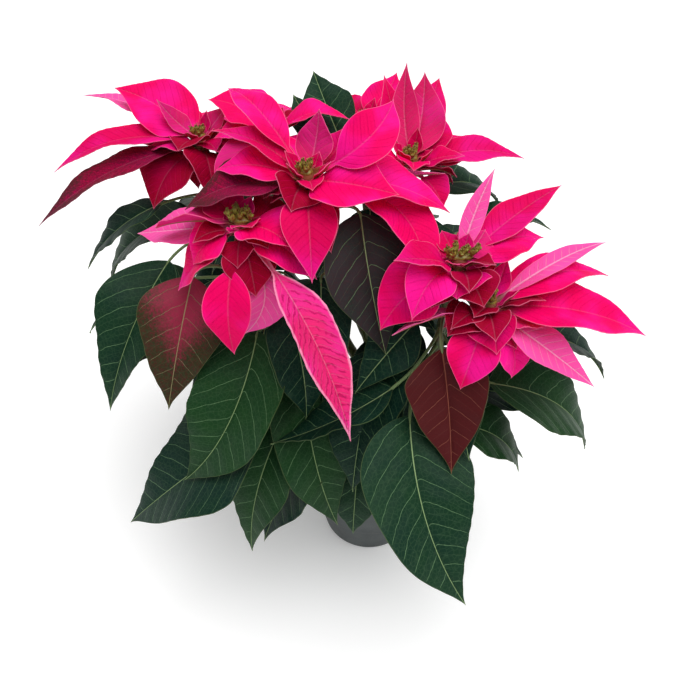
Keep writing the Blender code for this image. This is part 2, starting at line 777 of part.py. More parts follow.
def keep_largest_body(mesh, flat_angle):
    """Fill sealed hollows and drop loose scraps: keep only the shell with the largest volume.

    Edges flatter than flat_angle are dissolved first. Returns whether the result is closed.
    """
    work = bmesh.new()
    work.from_mesh(mesh)
    bmesh.ops.remove_doubles(work, verts=work.verts, dist=MERGE_DISTANCE)
    bmesh.ops.dissolve_degenerate(work, edges=work.edges, dist=MERGE_DISTANCE)
    if flat_angle:
        bmesh.ops.dissolve_limit(work, angle_limit=flat_angle, verts=work.verts, edges=work.edges)
    bmesh.ops.triangulate(work, faces=work.faces)
    groups = shells(work)
    main = max(groups, key=shell_volume)
    spare = [face for group in groups if group is not main for face in group]
    bmesh.ops.delete(work, geom=spare, context="FACES")
    loose = [corner for corner in work.verts if not corner.link_faces]
    bmesh.ops.delete(work, geom=loose, context="VERTS")
    closed = all(len(edge.link_faces) == 2 for edge in work.edges)
    work.to_mesh(mesh)
    work.free()
    return closed


def fused(name, solids, finish):
    """One object from overlapping closed solids, by a Boolean union on a collection."""
    body = mesh_object(name, *solids[0])
    parts = bpy.data.collections.new(f"{name}_parts")
    bpy.context.scene.collection.children.link(parts)
    for index, solid in enumerate(solids[1:]):
        part = mesh_object(f"{name}_part_{index}", *solid)
        bpy.context.scene.collection.objects.unlink(part)
        parts.objects.link(part)
    union = body.modifiers.new("Union", "BOOLEAN")
    union.operation = "UNION"
    union.operand_type = "COLLECTION"
    union.collection = parts
    for solver, flat_angle in itertools.product(("EXACT", "MANIFOLD"), (FLAT_ANGLE, 0.0)):
        union.solver = solver
        bpy.context.view_layer.update()
        mesh = bpy.data.meshes.new_from_object(body.evaluated_get(bpy.context.evaluated_depsgraph_get()))
        if keep_largest_body(mesh, flat_angle):
            break
    body.modifiers.clear()
    for part in list(parts.objects):
        bpy.data.objects.remove(part)
    bpy.data.collections.remove(parts)
    body.data = mesh
    mesh.name = name
    mesh.materials.clear()
    mesh.materials.append(finish)
    mesh.shade_smooth()
    mesh.set_sharp_from_angle(angle=math.radians(50))
    return body


def turned(name, profile, finish):
    """A solid of revolution about Z from a profile of (radius, height) that begins and ends on the axis."""
    work = bmesh.new()
    line = [work.verts.new((radius * MM, 0.0, height * MM)) for radius, height in profile]
    edges = [work.edges.new(pair) for pair in zip(line, line[1:])]
    bmesh.ops.spin(
        work, geom=line + edges, cent=(0, 0, 0), axis=(0, 0, 1), steps=ROUND_SIDES,
        angle=2.0 * math.pi, use_merge=True)
    bmesh.ops.remove_doubles(work, verts=work.verts, dist=0.01 * MM)
    bmesh.ops.recalc_face_normals(work, faces=work.faces)
    mesh = bpy.data.meshes.new(name)
    work.to_mesh(mesh)
    work.free()
    mesh.materials.append(finish)
    mesh.shade_smooth()
    mesh.set_sharp_from_angle(angle=math.radians(35))
    made = bpy.data.objects.new(name, mesh)
    bpy.context.scene.collection.objects.link(made)
    return made


def outer_radius(height):
    """Outer radius of the pot's tapered wall below the rim."""
    wall_top = POT_RIM_RADIUS - RIM_STEP
    return POT_BASE_RADIUS + (wall_top - POT_BASE_RADIUS) * height / (POT_HEIGHT - RIM_HEIGHT)


def make_pot(finish):
    """The tapered pot: one moulded cup with a stepped rim and drain holes round the middle of its floor."""
    step = POT_HEIGHT - RIM_HEIGHT
    inner_step = step + POT_WALL
    inside_top = POT_RIM_RADIUS - POT_WALL
    profile = (
        (0.0, 0.0),
        (outer_radius(0.0) - POT_HEEL, 0.0),
        (outer_radius(0.0) - 0.3 * POT_HEEL, 0.3 * POT_HEEL),
        (outer_radius(POT_HEEL), POT_HEEL),
        (outer_radius(step), step),
        (POT_RIM_RADIUS - 0.4, step + 0.6),
        (POT_RIM_RADIUS, POT_HEIGHT - 1.0),
        (POT_RIM_RADIUS - 0.5 * POT_WALL, POT_HEIGHT),
        (inside_top, POT_HEIGHT - 0.8),
        (inside_top - 0.4, inner_step),
        (outer_radius(step) - POT_WALL, step - 0.6),
        (outer_radius(POT_WALL) - POT_WALL, POT_WALL),
        (0.0, POT_WALL),
    )
    pot = turned("pot", profile, finish)
    for index in range(DRAIN_HOLES):
        place = heading(360.0 * index / DRAIN_HOLES) * (DRAIN_RING_RADIUS * MM)
        bpy.ops.mesh.primitive_cylinder_add(
            vertices=6, radius=DRAIN_HOLE_RADIUS * MM, depth=6.0 * POT_WALL * MM, location=tuple(place))
        cutter = bpy.context.object
        cut = pot.modifiers.new("Drain hole", "BOOLEAN")
        cut.operation = "DIFFERENCE"
        cut.object = cutter
        bpy.context.view_layer.update()
        mesh = bpy.data.meshes.new_from_object(pot.evaluated_get(bpy.context.evaluated_depsgraph_get()))
        pot.modifiers.clear()
        pot.data = mesh
        bpy.data.objects.remove(cutter)
    return pot


def make_soil(finish):
    """The plug of compost that fills the pot, with a plain hole for the trunk."""
    low = POT_WALL + GAP
    hole = TRUNK_RADIUS + SOIL_CLEARANCE
    edge = outer_radius(SOIL_LEVEL - 4.0) - POT_WALL - SOIL_CLEARANCE
    profile = (
        (0.0, low),
        (outer_radius(low) - POT_WALL - SOIL_CLEARANCE, low),
        (edge, SOIL_LEVEL - 4.0),
        (edge - 3.0, SOIL_LEVEL - 1.0),
        (0.62 * edge, SOIL_LEVEL + 0.5 * SOIL_CROWN),
        (0.30 * edge, SOIL_LEVEL + SOIL_CROWN),
        (hole, SOIL_LEVEL + 0.8 * SOIL_CROWN),
        (hole, SOIL_LEVEL - ROOT_DEPTH),
        (0.0, SOIL_LEVEL - ROOT_DEPTH),
    )
    soil = turned("soil", profile, finish)
    draw = random.Random("soil")
    for corner in soil.data.vertices:
        radius = math.hypot(corner.co.x, corner.co.y) / MM
        if hole + 1.0 < radius < edge - 1.0 and corner.co.z > (SOIL_LEVEL - 2.0) * MM:
            corner.co.z += draw.uniform(-SOIL_UNEVEN, SOIL_UNEVEN) * MM
    return soil


def make_trunk(finish):
    """The main stem with a short stub for each shoot."""
    foot = SOIL_LEVEL - ROOT_DEPTH + GAP
    heights = (foot, SOIL_LEVEL, 140.0, TRUNK_TOP)
    slope = (TRUNK_TOP_RADIUS - TRUNK_RADIUS) / (TRUNK_TOP - SOIL_LEVEL)
    radii = [TRUNK_RADIUS + slope * max(0.0, height - SOIL_LEVEL) for height in heights]
    solids = [tube_solid([UP * height for height in heights], radii, TRUNK_SIDES)]
    for shoot in SHOOTS:
        if shoot.number == 1:
            continue
        ends = [UP * shoot.fork, stem_start(shoot)]
        solids.append(tube_solid(ends, [STUB_RADIUS, STUB_END_RADIUS], STUB_SIDES))
    return fused("trunk", solids, finish)


def clear_scene():
    """Remove whatever the file holds."""
    for old in list(bpy.data.objects):
        bpy.data.objects.remove(old, do_unlink=True)


def main():
    """Build the pot, soil, trunk, shoots, blooms and bud clusters."""
    clear_scene()
    plastic = material("moulded pot plastic", (0.09, 0.10, 0.11), 0.55)
    compost = material("peat compost", (0.05, 0.03, 0.02), 0.95)
    bark = material("woody stem", (0.20, 0.14, 0.08), 0.8)
    leaf_green = material("leaf green", (0.03, 0.09, 0.05), 0.5)
    bract_pink = material("bract pink", (1.0, 0.02, 0.22), 0.5)
    bud_olive = material("bud olive", (0.30, 0.28, 0.05), 0.5)
    make_pot(plastic)
    make_soil(compost)
    make_trunk(bark)
    bracts, leaves = grown_plant()
    for shoot in SHOOTS:
        number = shoot.number
        solids = [stem_solid(shoot)]
        for leaf, blade in leaves[number]:
            solids.append(petiole_solid(shoot, leaf, blade))
            solids.append(blade_solid(blade, blade.form.rows, blade.form.columns, BLADE_THICKNESS))
        fused(f"shoot_{number}", solids, leaf_green)
        solids = [hub_solid(shoot)]
        for blade in bracts[number]:
            solids.append(blade_solid(blade, blade.form.rows, blade.form.columns, BLADE_THICKNESS))
        fused(f"bloom_{number}", solids, bract_pink)
        fused(f"buds_{number}", cluster_solids(shoot), bud_olive)


main()
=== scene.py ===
"""Poinsettia in a nursery pot: the looks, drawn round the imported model.

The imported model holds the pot, the soil, the trunk and, coarsely, the leaves, bracts and buds of eight
shoots. This script plans the same blades by the same rules, so that each one lies where its solid is, and
then draws them finely: with impressed side veins, waved margins, a raised rib underneath and a stalk that
flares where it joins the stem. Finer buds, stems, bark, soil and pot take the place of the plain ones.
Small late bracts and leaves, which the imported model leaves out, fill the hearts of the blooms and the room
between the stems.

All sizes are in millimetres and become metres where a mesh is made. The origin is the centre of the pot's
underside, +Z is up, and the side that the plant shows best faces -Y.
"""
from __future__ import annotations

import itertools
import logging
import math
import random
from dataclasses import dataclass, field, replace
from enum import Enum
from types import SimpleNamespace

import bmesh
import bpy
from mathutils import Matrix, Vector, noise
from mathutils.bvhtree import BVHTree


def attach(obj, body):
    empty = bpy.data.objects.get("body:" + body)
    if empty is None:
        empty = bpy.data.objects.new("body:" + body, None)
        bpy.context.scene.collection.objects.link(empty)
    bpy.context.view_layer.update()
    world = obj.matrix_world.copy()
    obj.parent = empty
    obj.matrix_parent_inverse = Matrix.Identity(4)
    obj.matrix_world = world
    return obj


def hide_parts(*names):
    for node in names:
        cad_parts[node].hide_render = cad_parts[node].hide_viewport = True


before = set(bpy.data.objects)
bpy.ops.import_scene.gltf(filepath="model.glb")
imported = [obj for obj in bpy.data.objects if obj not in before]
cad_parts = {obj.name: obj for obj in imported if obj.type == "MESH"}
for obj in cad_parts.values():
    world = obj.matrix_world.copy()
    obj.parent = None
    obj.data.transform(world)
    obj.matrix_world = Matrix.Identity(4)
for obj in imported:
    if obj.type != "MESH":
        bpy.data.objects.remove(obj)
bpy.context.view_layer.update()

Part = bmesh.types.BMesh
Socket = bpy.types.NodeSocket

LOG = logging.getLogger("poinsettia")
BODY = "root"
MM = 0.001
GAP = 0.3
UP = Vector((0.0, 0.0, 1.0))
FULL_TURN = 2.0 * math.pi
GOLDEN_ANGLE = math.radians(137.5)
MERGE_DISTANCE = 0.002 * MM
SHARP_ANGLE = math.radians(50)
SOIL_LEVEL = 92.0

# Seeded phases lie between nought and this, in radians
PHASES = 6.28

# Stems and receptacles, millimetres
STUB_LENGTH = 17.0
FORK_SLOPE = 35.0
STEM_RADIUS = 3.6
STEM_TOP_RADIUS = 2.6
STEM_SIDES = 6
STEM_RINGS = 7
STEM_SQUARE_START = 5.0
STEM_SQUARE_END = 6.0
PETIOLE_RADIUS = 1.4
PETIOLE_SIDES = 3
HUB_RADIUS = 4.4
HUB_HEIGHT = 13.0

# Bracts and buds, millimetres
BRACT_START_RADIUS = 3.4
BRACT_STALK = 2.0
BRACT_STALK_SPREAD = 5.5
BRACT_TOP = 1.6
BRACT_MARGIN = 4.6
LONG_STALK = 11.0
BUD_RADIUS = 1.9
BUD_LENGTH = 6.0
BUD_PLATE = 2.2
BUD_FOOT = 1.2
BUD_SIDES = 4
PLATE_SIDES = 6

# Late blades: how many a bloom or a shoot may grow, and the number of their first row
LATE_BRACTS = 12
LATE_LEAVES = 4
LATE_FIRST = 100

# Meshes of blades narrower than this have fewer rows and columns, millimetres
SMALL_LEAF_WIDTH = 44.0
SMALL_BRACT_WIDTH = 26.0

# Test bodies of the plan, millimetres
GUARD_THICKNESS = 2.4
OWN_GUARD_THICKNESS = 1.5
STALK_HALF_WIDTH = 1.3
BROAD_WIDTH = 42.0
SMALL_WIDTH = 31.0
SLIM_WIDTH = 58.0


@dataclass(frozen=True)
class Form:
    """Outline and section shared by all blades of one kind, with the stations of its test body.

    neck and point shape the outline before and after its widest place. fold is how far each half rises in
    degrees, and arch how much it rounds off. wave and shoulder are how far the margin ripples and bulges.
    """

    neck: float
    point: float
    fold: float
    arch: float
    wave: float
    shoulder: float
    rows: tuple[float, ...]


BRACT = Form(0.95, 1.45, 18.0, 0.30, 0.10, 0.0, (0.0, 0.16, 0.44, 0.76))
BROAD = Form(0.85, 1.38, 16.0, 0.30, 0.09, 0.0, (0.0, 0.12, 0.34, 0.60, 0.83))
SMALL = Form(0.90, 1.40, 18.0, 0.30, 0.10, 0.0, (0.0, 0.24, 0.62))
LEAF = Form(0.70, 1.45, 18.0, 0.30, 0.07, 0.07, (0.0, 0.10, 0.32, 0.58, 0.82))
SLIM = Form(0.70, 1.45, 18.0, 0.30, 0.07, 0.07, (0.0, 0.14, 0.42, 0.74))
HALVES = (-1.0, 0.0, 1.0)


class Tint(Enum):
    """How one blade is coloured: tone, glow, change, and how deeply it is quilted.

    On a bract, tone runs from hot pink to crimson, glow is the pale lilac of a blade that shows its back,
    and change is how far it is still a green leaf. The crimson of the bracts that lie under others and of
    the low ones in a bloom's heart is painted shade. On a leaf, tone runs from deep to fresh green, below
    nought to a slate grey that is a painted sheen, glow is pink beside the midrib, and change is how far it
    has reddened.
    """

    BRIGHT = (0.04, 0.0, 0.0, 1.0)
    ROSE = (0.30, 0.0, 0.0, 1.2)
    # Crimson is painted shade: it darkens the bracts that lie under others and the low ones in a bloom's
    # heart
    SHADE_CRIMSON = (0.95, 0.0, 0.0, 1.2)
    VEINED = (0.36, 0.14, 0.0, 1.6)
    LILAC = (0.10, 0.85, 0.0, 1.4)
    CREASED = (0.22, 0.22, 0.0, 6.0)
    TURNING = (0.70, 0.0, 0.62, 1.8)
    GREEN = (0.30, 0.0, 0.0, 1.0)
    FRESH = (0.85, 0.0, 0.0, 1.0)
    DEEP = (0.0, 0.0, 0.0, 1.0)
    # Slate grey is a painted sheen on the leaf
    SHEEN_SLATE = (-0.90, 0.0, 0.20, 1.0)
    SPECKLED = (0.75, 0.85, 0.38, 1.2)
    MAROON = (0.10, 0.15, 0.95, 1.0)


@dataclass(frozen=True)
class Blade:
    """One bract or leaf: where its tip lies from its base, how it is bent, and its tint."""

    azimuth: float
    run: float
    rise: float
    width: float
    bow: float = 0.12
    roll: float = 0.0
    stalk: float = 0.0
    twist: float = 0.0
    lean: float = 0.0
    fold: float = 0.0
    phase: float = 0.0
    form: Form = BRACT
    start: tuple[float, ...] = (0.0, 0.0, 0.0)
    tint: Tint = Tint.BRIGHT

    @property
    def chord(self) -> float:
        """Straight distance from the blade's base to its tip."""
        return math.hypot(self.run, self.rise)

    def half_width(self, along: float) -> float:
        """Half width at a share of the length of the flat part."""
        form = self.form
        widest = form.neck / (form.neck + form.point)
        rise = (along / widest) ** form.neck
        fall = ((1.0 - along) / (1.0 - widest)) ** form.point
        waves = math.sin(3.0 * math.pi * along + self.phase)
        lobes = 1.0 + form.shoulder * waves * math.sin(math.pi * along)
        return max(0.5 * self.width * rise * fall * lobes, STALK_HALF_WIDTH * (1.0 - along))

    def midrib(self, share: float) -> tuple[Vector, Vector, Vector]:
        """Place on the midrib at a share of the whole length, its direction, and the level way left."""
        out = heading(self.azimuth)
        left = UP.cross(out)
        chord = out * self.run + UP * self.rise
        length = chord.length
        crown = (UP * self.run - out * self.rise) / length
        bend = chord * 0.5 + crown * (2.0 * self.bow * length) + left * (2.0 * self.lean * length)
        place = bend * (2.0 * share * (1.0 - share)) + chord * share * share
        direction = bend * (2.0 - 4.0 * share) + chord * (2.0 * share)
        return Vector(self.start) + place, direction.normalized(), left


@dataclass(frozen=True)
class Leaf:
    """A stalked leaf on a shoot: at is its place along the stem, and base is where its blade begins."""

    at: float
    base: tuple[float, ...]
    azimuth: float
    run: float
    rise: float
    width: float
    bow: float = 0.12
    roll: float = 0.0
    fold: float = 0.0
    lean: float = 0.0


@dataclass(frozen=True)
class Ranges:
    """Run, rise and width that the row of an unseen or a late blade is drawn from, and its bow."""

    run: tuple[float, float]
    rise: tuple[float, float]
    width: tuple[float, float]
    bow: float

    def row(self, draw: random.Random, azimuth: float) -> tuple[float, ...]:
        """A row at an azimuth, without roll."""
        sizes = [draw.uniform(*limits) for limits in (self.run, self.rise, self.width)]
        return azimuth, *sizes, self.bow, 0


SPARE_BRACT = Ranges((52, 82), (-28, 2), (28, 42), 0.12)
SPARE_LEAF = Ranges((74, 92), (-84, -58), (52, 66), 0.16)
LATE_LOW_BRACT = Ranges((24, 36), (-26, -10), (18, 25), 0.14)
LATE_UPRIGHT_BRACT = Ranges((13, 18), (9, 17), (11, 14), -0.04)
LATE_LEAF = Ranges((40, 58), (-52, -26), (34, 44), 0.14)
SPARE_TURNS = (34.0, -30.0, 4.0)


@dataclass(frozen=True)
class Shoot:
    """A branch of the trunk, the bloom at its top, and its leaves."""

    number: int
    fork: float
    top: tuple[float, ...]
    cluster: tuple[float, ...]
    bracts: tuple[tuple, ...]
    leaves: tuple[tuple, ...]
    spare_bracts: int
    spare_leaves: int

    @property
    def fork_direction(self) -> Vector:
        """Direction in which the shoot leaves the trunk."""
        if self.number == 1:
            return UP.copy()
        out = Vector((self.top[0], self.top[1], 0.0)).normalized()
        return out * math.cos(math.radians(FORK_SLOPE)) + UP * math.sin(math.radians(FORK_SLOPE))

    @property
    def stem_start(self) -> Vector:
        """Centre of the end of the trunk's stub, where the stem begins."""
        length = 0.0 if self.number == 1 else STUB_LENGTH
        return UP * self.fork + self.fork_direction * length

    @property
    def stem_controls(self) -> tuple[Vector, ...]:
        """Control points of the stem, from the trunk's stub to the underside of the bloom."""
        begin = self.stem_start + self.fork_direction * GAP
        finish = Vector(self.top) - UP * (HUB_HEIGHT + GAP)
        reach = (finish - begin).length
        out = Vector((finish.x, finish.y, 0.0)).normalized()
        last = finish - (UP * 0.97 + out * 0.2).normalized() * (0.36 * reach)
        return begin, begin + self.fork_direction * (0.34 * reach), last, finish


# Each bract is azimuth in degrees, run, rise, width, bow, roll in degrees, then stalk and lean where it
# has them.
CENTRE_BRACTS = (
    (336, 62, 0, 50, 0.10, 14, 0, -0.10),
    (169, 60, -6, 36, 0.14, 0),
    (355, 92, -20, 48, 0.12, 0, 12),
    (274, 60, -40, 36, 0.20, 0),
    (34, 66, 25, 34, 0.04, 24, 14, -0.28),
    (68, 22, 32, 26, -0.10, 0),
    (44, 37, 24, 32, -0.06, 0),
    (153, 70, 6, 28, 0.10, 8),
    (125, 98, 16, 26, 0.08, 6, 16),
    (180, 80, -28, 50, 0.14, -8, 10),
    (281, 24, 2, 18, 0.10, 0),
    (256, 34, -12, 36, 0.16, 0),
    (290, 46, -30, 26, 0.20, 10),
    (320, 96, -48, 42, 0.22, 6, 20, 0.24),
    (22, 100, -24, 28, 0.06, -30, 14),
)
LEFT_BRACTS = (
    (308, 112, -110, 39, 0.16, -14, 30),
    (206, 34, -24, 40, 0.22, 0),
    (322, 42, -2, 46, 0.14, 0),
    (262, 46, -74, 32, 0.26, 0, 20),
    (162, 60, 0, 36, 0.10, 0),
    (168, 85, -26, 40, 0.08, 24, 10),
    (190, 46, -24, 42, 0.16, 0),
    (23, 38, 8, 38, 0.10, -20),
    (148, 43, 10, 30, 0.08, 0),
    (336, 52, -26, 38, 0.16, 0),
    (268, 30, -70, 32, 0.18, -10, 20, 0.24),
    (286, 36, -34, 36, 0.20, 0),
    (300, 24, 0, 20, 0.12, 0),
)
FAR_LEFT_BRACTS = (
    (156, 72, 24, 50, 0.06, -22),
    (151, 116, 10, 38, 0.06, 22, 10),
    (196, 40, 4, 50, 0.10, 0),
    (234, 56, -30, 56, 0.18, 0),
    (194, 110, -15, 32, 0.14, 0, 12),
    (207, 130, -40, 40, 0.12, 10, 16),
    (174, 74, -2, 28, 0.06, 0),
    (149, 30, 26, 18, 0.0, 0),
    (116, 44, 12, 24, 0.04, 0),
    (40, 28, 22, 22, 0.0, 0),
    (330, 40, -12, 24, 0.10, 0),
    (285, 54, -26, 46, 0.18, 0),
    (252, 34, -10, 34, 0.16, 0),
    (355, 36, -18, 28, 0.14, 0),
    (306, 26, 4, 22, 0.10, 0),
)
BACK_LEFT_BRACTS = (
    (160, 50, 4, 50, 0.10, 0),
    (205, 44, 2, 30, 0.10, 0),
)
BACK_BRACTS = (
    (262, 38, 8, 32, 0.06, 0),
    (10, 48, 14, 36, 0.06, 0),
    (60, 50, 20, 36, 0.04, 0),
)
BACK_RIGHT_BRACTS = (
    (78, 48, 40, 36, 0.0, 0),
    (108, 58, 34, 28, 0.0, 0),
    (94, 44, 32, 22, 0.0, 0),
    (64, 54, 18, 38, 0.06, 0),
    (72, 80, 22, 28, 0.06, 0),
    (39, 54, 8, 28, 0.08, 0),
    (11, 84, -15, 30, 0.10, 0),
    (24, 66, -6, 34, 0.10, 0),
    (348, 36, -10, 24, 0.12, 0),
    (200, 30, 6, 24, 0.10, 0),
    (268, 30, -8, 24, 0.10, 0),
    (310, 34, -14, 28, 0.14, 0),
)
RIGHT_BRACTS = (
    (206, 54, -36, 44, 0.20, 0),
    (22, 62, -3, 46, 0.10, 0),
    (262, 30, -14, 42, 0.16, 0),
    (48, 27, 30, 28, -0.06, 0),
    (188, 48, -10, 32, 0.14, 0),
    (62, 50, 36, 15, 0.0, 0),
    (38, 92, 10, 26, 0.04, 0, 12),
    (110, 26, 18, 20, 0.0, 0),
    (230, 48, -30, 34, 0.20, 0),
    (350, 20, 6, 16, 0.06, 0),
    (292, 34, -14, 34, 0.18, 0),
    (156, 30, 10, 24, 0.06, 0),
    (316, 26, -2, 22, 0.12, 0),
)
FAR_RIGHT_BRACTS = (
    (243, 38, -46, 34, 0.24, 0),
    (356, 103, -24, 50, 0.10, 0),
    (304, 30, -40, 34, 0.22, 0),
    (19, 88, -4, 34, 0.06, 0),
    (31, 98, 7, 16, 0.04, 0, 8),
    (340, 40, -8, 32, -0.10, 10),
    (330, 76, -44, 28, 0.06, 10),
    (190, 62, -20, 22, 0.10, 20, 14),
    (60, 22, 24, 16, 0.0, 0),
    (100, 34, 8, 22, 0.08, 0),
    (216, 34, -12, 30, 0.16, 0),
    (272, 34, -24, 32, 0.20, 0),
    (236, 24, 4, 20, 0.10, 0),
)

# Each leaf is its place along the stem, the start of its blade, azimuth, run, rise, width, bow, roll,
# then fold and lean where it has them.
SHOOTS = (
    Shoot(1, 186.0, (-48, 12, 370), (6.5, 6.5), CENTRE_BRACTS, (
        (0.90, (-14, 2, 346), 290, 52, -80, 62, 0.06, 6, 0, -0.06),
        (0.48, (2, -24, 250), 306, 66, -92, 66, 0.18, 0),
        (0.70, (10, 22, 312), 350, 60, -50, 50, 0.16, 0),
        (0.20, (-4, -36, 240), 274, 50, -90, 62, 0.16, 0),
        (0.36, (4, -30, 256), 246, 52, -70, 60, 0.14, 0),
        (0.56, (6, 30, 300), 328, 64, -70, 56, 0.14, 0),
        (0.62, (-40, -6, 300), 262, 44, -74, 52, 0.14, 0),
    ), 0, 0),
    Shoot(2, 134.0, (-89, -10, 350), (11.0, 6.5), LEFT_BRACTS, (
        (0.62, (-84, -24, 266), 225, 80, -96, 74, 0.08, -10, 0, 0.18),
        (0.84, (-126, -8, 302), 249, 56, -76, 60, 0.04, -20, 0, 0.0),
        (0.44, (-84, -58, 206), 192, 110, -94, 86, 0.06, -12, 0, 0.08),
        (0.50, (-54, -28, 228), 293, 65, -108, 62, 0.10, 0, 0, -0.10),
        (0.34, (-66, -44, 200), 240, 60, -106, 54, 0.12, 0),
        (0.24, (-36, -48, 176), 236, 64, -80, 58, 0.14, 0),
        (0.14, (-12, -50, 168), 262, 34, -68, 44, 0.12, 0),
        (0.30, (-58, -10, 202), 246, 50, -88, 58, 0.14, 0),
        (0.72, (-62, -22, 284), 285, 44, -80, 50, 0.16, 0),
        (0.56, (-80, -4, 258), 258, 46, -84, 54, 0.14, 0),
    ), 0, 0),
    Shoot(3, 144.0, (-133, 114, 338), (6.5, 6.5), FAR_LEFT_BRACTS, (
        (0.72, (-156, 46, 272), 238, 88, -86, 66, 0.14, 0, 12),
        (0.86, (-163, 80, 300), 195, 66, -50, 38, 0.10, 0),
        (0.60, (-142, 24, 244), 206, 74, -66, 58, 0.14, 0),
        (0.52, (-140, 50, 252), 190, 90, -44, 44, 0.14, 0),
    ), 2, 3),
    Shoot(4, 176.0, (-79, 113, 345), (6.5, 6.5), BACK_LEFT_BRACTS, (
        (0.88, (-88, 104, 310), 126, 74, 4, 42, 0.08, 0),
    ), 5, 3),
    Shoot(5, 152.0, (-6, 140, 336), (6.5, 6.5), BACK_BRACTS, (
        (0.90, (-27, 114, 335), 112, 56, 30, 42, 0.06, 0),
        (0.84, (-38, 112, 326), 118, 56, 22, 32, 0.06, 0),
    ), 5, 3),
    Shoot(6, 168.0, (22, 59, 352), (6.5, 6.5), BACK_RIGHT_BRACTS, (
        (0.86, (38, 74, 318), 22, 66, -32, 46, 0.16, 0),
        (0.74, (66, 52, 296), 16, 72, -14, 38, 0.14, 0),
    ), 1, 3),
    Shoot(7, 160.0, (47, -28, 335), (13.0, 6.0), RIGHT_BRACTS, (
        (0.62, (20, -72, 234), 293, 98, -92, 80, 0.08, 0, 0, -0.10),
        (0.80, (38, -58, 284), 279, 51, -66, 58, 0.04, 6, 0, 0.0),
        (0.72, (8, -60, 248), 190, 85, -42, 50, -0.04, 16, 0, 0.06),
        (0.40, (56, -56, 204), 355, 54, -52, 50, 0.16, 0),
        (0.30, (30, -54, 186), 286, 40, -84, 56, 0.14, 0),
    ), 0, 0),
    Shoot(8, 124.0, (67, -43, 312), (6.5, 6.5), FAR_RIGHT_BRACTS, (
        (0.66, (76, -50, 242), 0, 84, -76, 70, 0.16, 0),
        (0.86, (92, -34, 272), 2, 72, -46, 40, 0.16, 0),
        (0.50, (84, -18, 226), 38, 80, -68, 58, 0.16, 0),
        (0.36, (66, -8, 186), 18, 82, -58, 56, 0.14, 0),
    ), 0, 0),
)

# Order in which blooms and leafy stems claim their room: what shows best comes first and is bent least.
CLAIM_ORDER = (
    ("bloom", 1), ("bloom", 2), ("bloom", 7), ("bloom", 8), ("shoot", 7), ("shoot", 2), ("bloom", 3),
    ("bloom", 6), ("shoot", 8), ("shoot", 1), ("shoot", 5), ("bloom", 5), ("shoot", 4), ("bloom", 4),
    ("shoot", 3), ("shoot", 6),
)


def tinted(rows: dict[Tint, tuple[tuple[int, int], ...]]) -> dict[tuple[int, int], Tint]:
    """Tint of each place, which is a shoot's number and a row, from the places of each tint."""
    return {place: tint for tint, places in rows.items() for place in places}


# Tints of single blades: the bracts by bloom and row, and the leaves by shoot and row
BRACT_TINTS = tinted({
    Tint.BRIGHT: ((1, 0), (1, 1), (1, 2), (1, 4), (1, 13), (2, 3), (7, 0), (8, 0), (8, 1)),
    Tint.ROSE: ((1, 3), (1, 6), (1, 7), (2, 12), (3, 2), (3, 14), (8, 11)),
    Tint.VEINED: ((1, 5), (2, 4), (6, 0), (6, 2), (7, 3), (8, 5)),
    Tint.TURNING: ((1, 9), (3, 5)),
    # These bracts lie in shade, and their crimson is painted shade
    Tint.SHADE_CRIMSON: ((1, 11), (1, 12), (2, 7), (2, 11), (3, 3), (3, 6), (3, 11), (3, 12), (3, 13),
        (7, 10), (7, 12), (8, 10), (8, 12)),
    Tint.LILAC: ((1, 14), (2, 5), (2, 10), (3, 1), (7, 5), (8, 4), (8, 6), (8, 7)),
    Tint.CREASED: ((2, 0),),
})
LEAF_TINTS = tinted({
    # This leaf's slate grey is painted sheen
    Tint.SHEEN_SLATE: ((1, 0),),
    Tint.DEEP: ((1, 1), (1, 3), (1, 4), (1, 5), (1, 6), (2, 8), (2, 9), (4, 0), (7, 2), (7, 4)),
    Tint.FRESH: ((2, 0), (2, 3), (2, 4), (8, 0)),
    Tint.SPECKLED: ((2, 1),),
    Tint.GREEN: ((7, 0),),
    Tint.MAROON: ((7, 1),),
})


def bearing(angle: float) -> Vector:
    """Horizontal unit vector at an angle in radians."""
    return Vector((math.cos(angle), math.sin(angle), 0.0))


def heading(azimuth: float) -> Vector:
    """Horizontal unit vector at an azimuth in degrees."""
    return bearing(math.radians(azimuth))


def bezier(points: tuple[Vector, ...], share: float) -> Vector:
    """Point at a share of the smooth curve that control points give, from the first to the last."""
    points = list(points)
    while len(points) > 1:
        points = [a.lerp(b, share) for a, b in zip(points, points[1:])]
    return points[0]


@dataclass(frozen=True)
class Station:
    """One line across a blade: its middle, its axes, and how wide and how folded it is there."""

    middle: Vector
    across: Vector
    normal: Vector
    wide: float
    swell: float
    slope: float
    row: float

    def point(self, blade: Blade, column: float, relief: float = 0.0) -> Vector:
        """Point of the blade's surface at a share of the half width, -1 to 1, raised by relief."""
        reach = abs(column)
        lift = reach * self.wide * math.sin(self.slope) * (1.0 - blade.form.arch * reach)
        ripple = math.sin(2.6 * math.pi * self.row * 1.5 + blade.phase + 1.7 * (column > 0))
        lift += blade.form.wave * self.wide * self.swell * reach * reach * ripple
        side = self.across * (column * self.wide * math.cos(self.slope))
        return self.middle + side + self.normal * (lift + relief)


